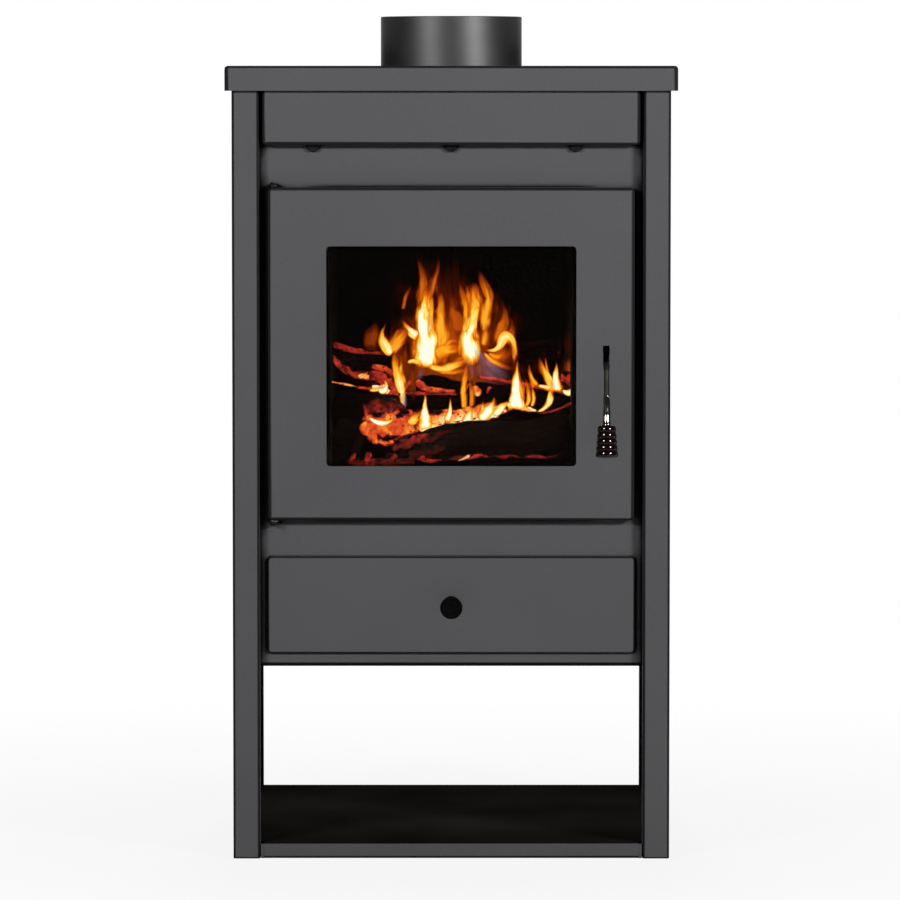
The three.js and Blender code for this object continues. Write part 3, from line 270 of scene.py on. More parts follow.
def sheet_steel():
    """Rolled steel sheet with drawn streaks, browned by heat in places."""
    s = Shader("sheet_steel")
    streaks = s.noise(s.stretch(s.place, (40.0, 900.0, 40.0)), 1.0, 3.0)
    cloud = s.noise(s.place, 14.0, 4.0, 0.6)
    tone = s.mix(s.span(streaks, 0.3, 0.7), (0.16, 0.155, 0.15), (0.26, 0.25, 0.24))
    tone = s.mix(s.span(cloud, 0.45, 0.75, 0.0, 0.6), tone, (0.12, 0.085, 0.06))
    s.set(Base_Color=tone, Roughness=s.span(cloud, 0.3, 0.7, 0.35, 0.6), Metallic=0.8)
    s.set(Normal=s.bump(streaks, 0.00005, 0.4, s.round_edges(0.0004)))


def sooty_steel():
    """Steel inside the chamber, covered in soot."""
    s = Shader("sooty_steel")
    soot = s.noise(s.place, 30.0, 5.0, 0.65)
    fine = s.noise(s.place, 500.0, 3.0)
    greys = [(0.3, (0.002, 0.002, 0.002)), (0.6, (0.006, 0.0055, 0.005)), (0.8, (0.02, 0.017, 0.015))]
    tone = s.ramp(soot, greys)
    s.set(Base_Color=tone, Roughness=s.span(soot, 0.3, 0.7, 0.95, 0.7), Metallic=0.2)
    s.set(Normal=s.bump(fine, 0.0003, 0.5))


def cast_iron():
    """Sand-cast iron of the grate, with ash lodged in its pits."""
    s = Shader("cast_iron")
    sand = s.noise(s.place, 700.0, 3.0)
    ash = s.noise(s.place, 40.0, 4.0, 0.6)
    tone = s.mix(s.span(ash, 0.5, 0.75), (0.02, 0.019, 0.018), (0.16, 0.15, 0.14))
    s.set(Base_Color=tone, Roughness=0.85, Metallic=0.4)
    s.set(Normal=s.bump(sand, 0.0004, 0.7))


def firebrick():
    """Pressed brick, blackened by soot upwards and burnt clean near the embers."""
    s = Shader("firebrick")
    height = s.part(s.place, 2)
    grit = s.noise(s.place, 260.0, 4.0, 0.6)
    cloud = s.noise(s.place, 18.0, 4.0, 0.6)
    clean = s.mix(s.span(grit, 0.35, 0.65), (0.03, 0.022, 0.016), (0.07, 0.052, 0.038))
    level = s.plus(height, s.span(cloud, 0.2, 0.8, -0.05, 0.05))
    black = s.mix(s.span(grit, 0.35, 0.65), (0.0006, 0.0005, 0.0005), (0.0024, 0.0018, 0.0014))
    tone = s.mix(s.span(level, 0.31, 0.36), clean, black)
    s.set(Base_Color=tone, Roughness=0.95, Specular_IOR_Level=0.1)
    s.set(Normal=s.bump(grit, 0.0008, 0.6, s.round_edges(0.001)))


def fire_glass():
    """Ceramic glass, barely tinted, with a thin film of soot creeping in from its rim."""
    s = Shader("fire_glass")
    low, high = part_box("door_glass")
    middle, half = (low + high) / 2, (high - low) / 2
    shares = []
    for axis in (0, 2):
        off_middle = s.math("SUBTRACT", s.part(s.place, axis), middle[axis])
        shares.append(s.math("ABSOLUTE", s.times(off_middle, 1 / half[axis])))
    rim = s.math("MAXIMUM", *shares)
    cloud = s.noise(s.place, 22.0, 4.0, 0.6)
    film = s.plus(rim, s.span(cloud, 0.2, 0.8, -0.06, 0.06))
    tone = s.mix(s.span(film, 0.9, 1.02), (0.93, 0.9, 0.86), (0.2, 0.15, 0.1))
    s.set(Base_Color=tone, Roughness=0.015, Transmission_Weight=1.0, IOR=1.1)


def rope():
    """Knitted glass-fibre rope: a diagonal weave that has gone grey."""
    s = Shader("glass_rope")
    fibre = s.noise(s.place, 900.0, 3.0)
    weave = s.cells(s.stretch(s.place, (520.0, 520.0, 520.0)), 1.0)
    tone = s.mix(s.span(weave, 0.0, 0.25), (0.05, 0.048, 0.045), (0.2, 0.19, 0.18))
    tone = s.mix(s.span(fibre, 0.4, 0.7, 0.0, 0.5), tone, (0.3, 0.29, 0.27))
    s.set(Base_Color=tone, Roughness=0.95, Sheen_Weight=0.3)
    s.set(Normal=s.bump(weave, 0.0006, 0.8))


def black_steel():
    """Oiled black steel of bolts, pins and lugs."""
    s = Shader("black_steel")
    wear = s.noise(s.place, 160.0, 3.0)
    fine = s.noise(s.place, 1300.0, 2.0)
    tone = s.mix(s.span(wear, 0.55, 0.75), (0.003, 0.003, 0.0033), (0.011, 0.01, 0.0095))
    s.set(Base_Color=tone, Roughness=s.span(wear, 0.3, 0.7, 0.4, 0.55), Metallic=0.4)
    s.set(Normal=s.bump(fine, 0.00005, 0.5, s.round_edges(0.0003)))


# Heights at which the rod's dark stretch begins and is fully dark, in millimetres
ROD_DARK_FROM = 440.5
ROD_DARK_FULL = 442.5


def rod_steel():
    """The lever's rod: dull olive oxide, drawn lengthwise, and near black from its bend inwards."""
    s = Shader("rod_steel")
    drawn = s.noise(s.stretch(s.place, (2600.0, 2600.0, 60.0)), 1.0, 2.0)
    cloud = s.noise(s.place, 110.0, 3.0)
    olive = s.mix(s.span(drawn, 0.3, 0.7), (0.008, 0.0077, 0.0058), (0.026, 0.025, 0.019))
    inward = s.span(s.part(s.place, 2), ROD_DARK_FROM * MM, ROD_DARK_FULL * MM)
    tone = s.mix(inward, olive, (0.004, 0.004, 0.004))
    s.set(Base_Color=tone, Roughness=s.span(cloud, 0.3, 0.7, 0.42, 0.55), Metallic=0.5)
    s.set(Specular_IOR_Level=0.3)
    s.set(Normal=s.bump(drawn, 0.00002, 0.4))


def chrome():
    """Polished chrome with fine handling marks."""
    s = Shader("chrome")
    marks = s.noise(s.stretch(s.place, (1800.0, 1800.0, 200.0)), 1.0, 2.0)
    dull = s.noise(s.place, 240.0, 2.0)
    tone = s.mix(s.span(dull, 0.4, 0.7), (0.3, 0.29, 0.26), (0.42, 0.41, 0.37))
    s.set(Base_Color=tone, Roughness=s.span(marks, 0.3, 0.7, 0.03, 0.08), Metallic=1.0)


def bakelite():
    """Moulded plastic, a burgundy so deep that it looks black, under a clear gloss."""
    s = Shader("bakelite")
    mottle = s.noise(s.place, 330.0, 4.0, 0.6)
    fine = s.noise(s.place, 1400.0, 2.0)
    tone = s.mix(s.span(mottle, 0.35, 0.7), (0.003, 0.0008, 0.001), (0.011, 0.002, 0.0026))
    s.set(Base_Color=tone, Roughness=s.span(mottle, 0.3, 0.7, 0.07, 0.12), Coat_Weight=0.2)
    s.set(Coat_Roughness=0.06)
    s.set(Normal=s.bump(fine, 0.00002, 0.3))


def matte_black():
    """Black moulding with a fine leathery grain and no gloss."""
    s = Shader("matte_black")
    pebbles = s.cells(s.place, 900.0)
    wear = s.noise(s.place, 300.0, 3.0)
    tone = s.mix(s.span(wear, 0.5, 0.75), (0.0012, 0.001, 0.001), (0.005, 0.0035, 0.003))
    s.set(Base_Color=tone, Roughness=s.span(wear, 0.3, 0.7, 0.6, 0.75))
    s.set(Specular_IOR_Level=0.06)
    s.set(Normal=s.bump(pebbles, 0.0002, 0.6))


def charred_wood():
    """Burning log: cracked black charcoal that is brown in its grain."""
    s = Shader("charred_wood")
    uv = s.uv()
    warp = s.noise(s.place, 60.0, 3.0)
    shifted = s.node("ShaderNodeVectorMath", operation="ADD")
    s.put(shifted.inputs[0], s.stretch(uv, (150.0, 55.0, 1.0)))
    s.put(shifted.inputs[1], s.node("ShaderNodeCombineXYZ", {"X": warp, "Y": warp}).outputs[0])
    cracks = s.cells(shifted.outputs[0], 1.0)
    grain = s.noise(s.stretch(uv, (500.0, 40.0, 1.0)), 1.0, 4.0)
    patch = s.noise(s.place, 150.0, 4.0, 0.65)
    char = s.mix(s.span(grain, 0.35, 0.7), (0.0004, 0.0002, 0.0001), (0.015, 0.005, 0.0018))
    ash = s.times(s.span(patch, 0.62, 0.8), s.span(cracks, 0.1, 0.4))
    s.set(Base_Color=s.mix(ash, char, (0.022, 0.009, 0.005)), Roughness=0.9, Specular_IOR_Level=0.05)
    height = s.plus(s.span(cracks, 0.0, 0.3), s.times(grain, 0.4))
    s.set(Normal=s.bump(height, 0.0022, 0.9))


def embers():
    """Coals: charcoal that glows red, then pink and orange, then yellow-white, with dark pores and cracks."""
    s = Shader("embers")
    heat = s.attribute("ember_heat")
    warp = s.noise(s.place, 130.0, 2.0)
    lumps = s.cells(s.bend_vector(s.place, warp, 0.012), 75.0)
    fine = s.noise(s.place, 380.0, 4.0, 0.6)
    patch = s.noise(s.place, 110.0, 5.0, 0.62)
    pores = s.cells(s.place, 210.0, "F1")
    tone = s.mix(s.span(fine, 0.4, 0.7), (0.002, 0.0015, 0.001), (0.02, 0.014, 0.011))
    uneven = s.plus(s.span(lumps, 0.16, 0.0, -0.02, 0.05), s.span(patch, 0.3, 0.7, -0.17, 0.13))
    uneven = s.plus(uneven, s.span(fine, 0.3, 0.7, -0.06, 0.06))
    glow = s.plus(heat, s.times(uneven, s.span(heat, 0.0, 0.4)))
    glow = s.times(glow, s.span(pores, 0.1, 0.22, 0.3, 1.0), True)
    colour = s.ramp(
        glow,
        [
            (0.12, (0.0, 0.0, 0.0)),
            (0.28, (0.08, 0.004, 0.002)),
            (0.45, (0.38, 0.022, 0.014)),
            (0.62, (0.75, 0.075, 0.018)),
            (0.8, (1.0, 0.34, 0.03)),
            (0.98, (1.0, 0.86, 0.42)),
        ],
    )
    s.set(Base_Color=tone, Roughness=0.95, Emission_Color=colour)
    s.set(Emission_Strength=1.0, Specular_IOR_Level=0.05)
    s.set(Normal=s.bump(s.plus(lumps, s.times(fine, 0.3)), 0.002, 0.7))


def flame():
    """Flame: see-through, white and yellow at its core, orange outwards, dark red where it thins out."""
    s = Shader("flame")
    uv = s.uv()
    side = s.attribute("side")
    share = s.attribute("share")
    curl = s.noise(s.stretch(uv, (48.0, 34.0, 1.0)), 1.0, 2.0)
    swing = s.times(s.span(curl, 0.3, 0.7, -0.4, 0.4), s.span(share, 0.0, 0.5, 0.25, 1.0))
    ragged = s.noise(s.stretch(uv, (190.0, 48.0, 1.0)), 1.0, 3.0, 0.6, 0.6)
    tear = s.times(s.span(ragged, 0.3, 0.7, -0.26, 0.26), s.span(share, 0.0, 0.4, 0.3, 1.0))
    off = s.plus(side, s.plus(swing, tear))
    square = s.times(off, off)
    fall = s.plus(square, s.times(s.times(square, square), 1.4))
    core = s.math("EXPONENT", s.times(fall, -1.7))
    rim = s.span(s.math("ABSOLUTE", side), 1.0, 0.7)
    lick = s.noise(s.stretch(uv, (150.0, 40.0, 1.0)), 1.0, 3.0, 0.6, 0.5)
    foot = s.span(s.plus(share, s.span(lick, 0.3, 0.7, -0.05, 0.05)), 0.0, 0.13)
    tip = s.math("POWER", s.span(share, 1.0, 0.45), 0.8)
    streak = s.noise(s.stretch(uv, (420.0, 24.0, 1.0)), 1.0, 3.0, 0.55, 0.5)
    glow = s.times(s.times(core, rim), s.times(foot, tip))
    glow = s.times(glow, s.span(streak, 0.3, 0.7, 0.84, 1.2))
    torn = s.times(s.span(lick, 0.45, 0.75, 0.0, 0.5), share)
    glow = s.times(s.math("SUBTRACT", glow, torn, True), s.attribute("power"))
    warm = s.ramp(
        glow,
        [
            (0.0, (0.05, 0.004, 0.0)),
            (0.12, (0.34, 0.03, 0.001)),
            (0.28, (0.82, 0.14, 0.004)),
            (0.46, (1.0, 0.38, 0.01)),
            (0.64, (1.0, 0.66, 0.08)),
            (0.82, (1.0, 0.9, 0.4)),
            (1.0, (1.0, 1.0, 0.86)),
        ],
    )
    pale = s.ramp(glow, [(0.0, (0.05, 0.03, 0.06)), (0.3, (0.36, 0.19, 0.26)), (0.7, (0.8, 0.45, 0.4))])
    colour = s.mix(s.attribute("violet"), warm, pale)
    s.set(Base_Color=(0.0, 0.0, 0.0, 1.0), Roughness=1.0, Emission_Color=colour)
    s.set(Alpha=s.span(glow, 0.0, 0.5, 0.0, 0.95))
    s.set(Emission_Strength=1.15, Specular_IOR_Level=0.0)


def loose_ash():
    """Powdery grey ash with bits of charcoal in it."""
    s = Shader("loose_ash")
    fine = s.noise(s.place, 420.0, 4.0, 0.65)
    bits = s.noise(s.place, 130.0, 2.0)
    tone = s.mix(s.span(fine, 0.3, 0.7), (0.2, 0.19, 0.18), (0.36, 0.345, 0.33))
    tone = s.mix(s.span(bits, 0.63, 0.68), tone, (0.02, 0.018, 0.016))
    s.set(Base_Color=tone, Roughness=1.0)
    s.set(Normal=s.bump(fine, 0.001, 0.7))


# The front plate's lower 3.6 mm are painted black: a painted shadow, standing for the dark of the gap over
# the wood bay
FRONT_PLATE_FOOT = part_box("front_plate")[0].z + 3.6 * MM

stove_paint()
stove_paint("base_paint", painted_shade_on_top=True)
# The front plate: a painted shadow along its foot, and a narrower band of painted shade in its corners
stove_paint("front_paint", painted_shadow_below=FRONT_PLATE_FOOT, shade=(0.635, 0.6))
METALS = [collar_paint, sheet_steel, sooty_steel, cast_iron, black_steel, rod_steel, chrome]
OTHERS = [firebrick, fire_glass, rope, bakelite, matte_black, charred_wood, embers, flame, loose_ash]
for build_material in METALS + OTHERS:
    build_material()

# Material of each slot whose name isn't a material's
BY_SLOT = {"body_paint": "stove_paint", "grate_iron": "cast_iron", "grip_plastic": "bakelite"}

# Material of each CAD node that differs from its slot
SOOTY = ["baffle_plate", "hearth_plate", "log_fence", "airwash_plate", "firebox_shell", "firebox_roof"]
SOOTY += ["hearth_ledge_left", "hearth_ledge_right"]
BY_NODE = {
    "base_plate": "base_paint",
    "front_plate": "front_paint",
    "drawer_knob": "matte_black",
    "latch_lever": "rod_steel",
    **dict.fromkeys(SOOTY, "sooty_steel"),
}


def dress_cad_nodes():
    """Give each CAD node its material, smooth faces and sharp edges."""
    slots = {part["node"]: part["material_slot"] for part in frame["record"]["subparts"]}
    for name, node in frame["nodes"].items():
        slot = slots[name]
        chosen = MATERIALS[BY_NODE.get(name, BY_SLOT.get(slot, slot))]
        node.data.materials.clear()
        node.data.materials.append(chosen)
        for polygon in node.data.polygons:
            polygon.use_smooth = True
        weld = node.modifiers.new("weld", "WELD")
        weld.merge_threshold = SAME_POINT
        split = node.modifiers.new("edges", "EDGE_SPLIT")
        split.split_angle = SHARP_EDGE
        flat = node.modifiers.new("flat", "WEIGHTED_NORMAL")
        flat.keep_sharp = True


# Mesh helpers


def make_piece(name, points, faces, material, body, smooth=True):
    """A piece of the scene that moves with a body, in one of the materials."""
    mesh = bpy.data.meshes.new(name)
    mesh.from_pydata([tuple(point) for point in points], [], faces)
    mesh.validate()
    for polygon in mesh.polygons:
        polygon.use_smooth = smooth
    mesh.materials.append(MATERIALS[material])
    piece = bpy.data.objects.new(name, mesh)
    bpy.context.scene.collection.objects.link(piece)
    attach(piece, body)
    return piece


def grid_faces(rows, columns, closed=False):
    """Faces between rows of points, each row closed to a ring or left open."""
    faces = []
    for row in range(rows - 1):
        for column in range(columns if closed else columns - 1):
            following = (column + 1) % columns
            first = row * columns
            second = first + columns
            faces.append((first + column, first + following, second + following, second + column))
    return faces


def put_uv(piece, values):
    """Grain coordinates, one pair for each point."""
    layer = piece.data.uv_layers.new(name="grain")
    for loop in piece.data.loops:
        layer.data[loop.index].uv = values[loop.vertex_index]


def put_number(piece, name, values):
    """A number for each point, which materials read by its name."""
    layer = piece.data.attributes.new(name, "FLOAT", "POINT")
    layer.data.foreach_set("value", values)


def lathe(name, profile, material, body, placing, sides=48):
    """A turned piece: profile of (radius, height) in millimetres round the local Z axis."""
    points = []
    for radius, height in profile:
        for side in range(sides):
            angle = side / sides * math.tau
            local = Vector((radius * math.cos(angle), radius * math.sin(angle), height)) * MM
            points.append(placing @ local)
    return make_piece(name, points, grid_faces(len(profile), sides, True), material, body)


# Fine pieces that replace or dress CAD nodes

# The lever's rod as the CAD has it, in millimetres: from the pin to its bend, the bend, and the straight
ROD_REACH = 11
ROD_BEND = 8
ROD_STRAIGHT = 20
FERRULE_LENGTH = 27.4
HANDLE_SLANT = math.radians(8)

# Places of the two rings round the bend, in degrees, and the turn that lays a lathe's axis along the depth
ROD_RING_ANGLES = (22, 52)
QUARTER_BACK = Matrix.Rotation(math.radians(-90), 4, "X")


def grip_profile(length=27.5, top=8.1, bottom=10.1, rings=5, groove=1.3, steps=10):
    """Outside of the ringed grip, from its narrow end down, with rounded bead edges and a dished end."""
    profile = [(1.9, -1.0), (1.9, -0.1), (top - groove - 0.6, 0.0)]
    for ring in range(rings):
        for step in range(steps + 1):
            turn = step / steps * math.pi
            share = (ring + (1 - math.cos(turn)) / 2) / rings
            crest = top + (bottom - top) * share
            swell = math.sin(turn) ** 0.6
            profile.append((crest - groove * (1 - swell), -share * length))
    profile += [
        (bottom - groove - 0.5, -length),
        (bottom - groove - 1.6, -length + 0.25),
        (5.6, -length + 0.9),
        (5.2, -length + 0.55),
        (4.6, -length + 0.9),
        (2.2, -length + 1.1),
        (0.01, -length + 1.0),
    ]
    return profile


def handle_points():
    """Centre of the rod's bend, and the handle's slanted frame at its grip's top, from the latch pin."""
    low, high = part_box("latch_pin")
    pivot = (low + high) / 2
    bend_centre = pivot + Vector((0, -ROD_REACH, -ROD_BEND)) * MM
    turn = Matrix.Rotation(-HANDLE_SLANT, 4, "X")
    bend_end = bend_centre + Vector((0, -math.cos(HANDLE_SLANT), math.sin(HANDLE_SLANT))) * ROD_BEND * MM
    top = bend_end + turn @ Vector((0, 0, -(ROD_STRAIGHT + FERRULE_LENGTH) * MM))
    return bend_centre, Matrix.Translation(top) @ turn


def make_grips(placing):
    """The handle's ringed grip, and the same moulding as the drawer's knob."""
    grip = lathe("latch_grip_fine", grip_profile(), "bakelite", "latch", placing)
    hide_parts("latch_grip")
    low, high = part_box("drawer_knob")
    centre = (low + high) / 2
    back = Vector((centre.x, high.y, centre.z))
    turned = Matrix.Translation(back) @ QUARTER_BACK
    knob = lathe("drawer_knob_fine", grip_profile(), "matte_black", "drawer", turned)
    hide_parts("drawer_knob")


def make_ferrule(placing):
    """Chrome ferrule: a flared sleeve with a rolled lip at its foot and a rounded shoulder at its top."""
    profile = [(2.5, 27.35), (2.8, 27.4), (3.0, 27.1), (3.0, 26.2), (2.9, 25.8), (3.15, 18.0), (3.4, 10.0)]
    profile += [(3.65, 2.4), (3.85, 1.4), (3.9, 0.7), (3.7, 0.3), (1.9, 0.3)]
    ferrule = lathe("latch_ferrule_fine", profile, "chrome", "latch", placing)
    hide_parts("latch_ferrule")


def make_rod_rings(bend_centre):
    """Two raised rings on the rod's bend."""
    ring = [(2.3, 0.5), (2.62, 0.45), (2.75, 0.0), (2.62, -0.45), (2.3, -0.5)]
    for number, angle in enumerate(ROD_RING_ANGLES):
        turn = math.radians(angle)
        centre = bend_centre + Vector((0, -math.sin(turn), math.cos(turn))) * ROD_BEND * MM
        placing = Matrix.Translation(centre) @ Matrix.Rotation(turn - math.pi / 2, 4, "X")
        lathe(f"rod_ring_{number}", ring, "rod_steel", "latch", placing, 24)


# Fire


def make_log(name, start, end, radius, seed, flat=0.0):
    """A burnt log: a lumpy rod between two points, with three flattened sides and rounded ends."""
    axis = end - start
    length = axis.length
    forward = axis.normalized()
    side = forward.cross(Vector((0, 0, 1))).normalized()
    up = side.cross(forward)
    rows, columns = 46, 40
    rounded_share = 0.04
    points, uvs = [], []
    offset = Vector((seed * 3.7, seed * 1.3, seed * 2.1))
    for row in range(rows):
        share = row / (rows - 1)
        end_share = min(share, 1 - share) / rounded_share
        taper = math.sqrt(max(0.02, 1 - (1 - min(1.0, end_share)) ** 2))
        bend = noise.noise(Vector((share * 1.7, seed, 0.0))) * radius * 0.5
        for column in range(columns):
            angle = column / columns * math.tau
            ring = Vector((math.cos(angle), math.sin(angle), share * length / radius * 0.6)) + offset
            lump = 1 + 0.16 * noise.noise(ring * 0.9) + 0.09 * noise.noise(ring * 3.1)
            facet = 1 - flat * max(0.0, math.cos(angle * 3 + seed)) * 0.3
            reach = radius * lump * facet * taper
            point = start + axis * share + side * (math.cos(angle) * reach)
            points.append(point + up * (math.sin(angle) * reach + bend))
            uvs.append((angle * radius, share * length))
    faces = grid_faces(rows, columns, True)
    faces.append(tuple(range(columns - 1, -1, -1)))
    faces.append(tuple((rows - 1) * columns + column for column in range(columns)))
    log = make_piece(name, points, faces, "charred_wood", "cabinet")
    put_uv(log, uvs)


def make_ember_bed():
    """Bed of coals on the grate, heaped towards the middle, and barely glowing."""
    columns, rows = 110, 120
    half, front, back, floor = 104, 54, 346, 311
    depth, heap_height, heap_middle = 16, 34, 150
    heap_half, heap_reach = 80, 60
    cold_heat = 0.16
    points = []
    for row in range(rows):
        for column in range(columns):
            x = -half + 2 * half * column / (columns - 1)
            y = front + (back - front) * row / (rows - 1)
            edge = min(1.0, (half - abs(x)) / 10 + 0.05, (y - front) / 12 + 0.05, (back - y) / 12 + 0.05)
            heap = heap_height * math.exp(-((x / heap_half) ** 2) - ((y - heap_middle) / heap_reach) ** 2)
            spot = at(x, y, 0)
            rough = noise.noise(spot * 60) * 5 + abs(noise.noise(spot * 130)) * 5
            points.append(at(x, y, floor + edge * (depth + heap + rough)))
    bed = make_piece("ember_bed", points, grid_faces(rows, columns), "embers", "cabinet")
    put_number(bed, "ember_heat", [cold_heat] * len(points))


def curve_value(a, b, c, d, t):
    """A value on the smooth curve through four values, at the share t of the way from b to c."""
    return 0.5 * (2 * b + (c - a) * t + (2 * a - 5 * b + 4 * c - d) * t**2 + (3 * b - a - 3 * c + d) * t**3)


def smooth_path(points, steps):
    """Places along a smooth curve through the given (x, z, half width) rows."""
    padded = [points[0], *points, points[-1]]
    result = []
    for number in range(len(points) - 1):
        four = padded[number : number + 4]
        for step in range(steps):
            result.append(tuple(curve_value(*values, step / steps) for values in zip(*four)))
    result.append(points[-1])
    return result


# Least half width of a ribbon, and the width past which it bows no further, in millimetres
LEAST_HALF = 0.4
LARGEST_BOW = 10


def make_ribbon(name, material, depth, rows, columns, swell, spread, rough=0.0):
    """A bowed ribbon along (x, z, half width) rows, with each point's side and its share of the length."""
    path = smooth_path(rows, 8)
    seed = sum(ord(letter) for letter in name) * 0.37 % 5
    points, uvs, sides, shares = [], [], [], []
    length = 0.0
    for number, (x, z, half) in enumerate(path):
        before = path[max(0, number - 1)]
        after = path[min(len(path) - 1, number + 1)]
        heading = Vector((after[0] - before[0], after[1] - before[1])).normalized()
        length += math.dist(before[:2], (x, z))
        width = max(half, LEAST_HALF) * spread
        for column in range(columns):
            across = column / (columns - 1) * 2 - 1
            place_x = x + across * width * heading.y
            place_z = z - across * width * heading.x
            grain = Vector((place_x, place_z, 0.0))
            bow = (1 - across**2) * min(width, LARGEST_BOW) * swell
            bow += rough * (noise.noise(grain * 0.16) + 0.4 * noise.noise(grain * 0.5))
            points.append(in_view(place_x, place_z, depth - bow))
            uvs.append((across * width * MM + seed, length * MM + seed))
            sides.append(across)
            shares.append(number / (len(path) - 1))
    ribbon = make_piece(name, points, grid_faces(len(path), columns), material, "cabinet")
    put_uv(ribbon, uvs)
    return ribbon, sides, shares


def make_flame(name, depth, power, rows, violet=0.0):
    """A tongue of flame."""
    tongue, sides, shares = make_ribbon(
        f"flame_{name}", "flame", depth, rows, columns=13, swell=0.5, spread=1.35
    )
    put_number(tongue, "side", sides)
    put_number(tongue, "share", shares)
    put_number(tongue, "power", [power] * len(sides))
    put_number(tongue, "violet", [violet] * len(sides))
    tongue.visible_shadow = False


def make_glow(name, depth, low, high, rows):
    """A glowing stretch of coal, with its own heat at its low side and at its high side."""
    patch, sides, shares = make_ribbon(
        f"glow_{name}", "embers", depth, rows, columns=25, swell=0.3, spread=1.25, rough=1.2
    )
    side_fade, end_fade = 0.35, 0.08
    heats = []
    for side, share, vertex in zip(sides, shares, patch.data.vertices):
        ragged = 0.75 * noise.noise(vertex.co * 150) + 0.4 * noise.noise(vertex.co * 420)
        rim = min(1.0, (1 - abs(side) + ragged) / side_fade, min(share, 1 - share) / end_fade + ragged)
        heats.append(max(0.0, rim) * (low + (high - low) * (1 - side) / 2))
    put_number(patch, "ember_heat", heats)
    patch.visible_shadow = False


# Name, both ends as (x, z, depth), radius, seed, and how flat its sides are
LOGS = [
    ("front", (-50, 341, 84), (110, 377, 76), 24, 1.0, 0.35),
    ("left_front", (-106, 394, 146), (-37, 387, 138), 20, 2.0, 0.3),
    ("left_corner", (-106, 366, 110), (-84, 360, 106), 24, 9.0, 0.3),
    ("left_high", (-104, 441, 172), (-52, 436, 160), 9, 4.0, 0.6),
    ("middle", (-32, 414, 152), (20, 411, 148), 10, 5.0, 0.5),
    ("middle_low", (-34, 399, 142), (24, 397, 138), 9, 3.0, 0.5),
    ("right", (20, 411, 138), (110, 400, 128), 11, 8.0, 0.5),
    ("right_back", (62, 448, 206), (98, 450, 196), 9, 6.0, 0.4),
    ("rear", (-92, 372, 250), (92, 380, 262), 28, 7.0, 0.3),
]

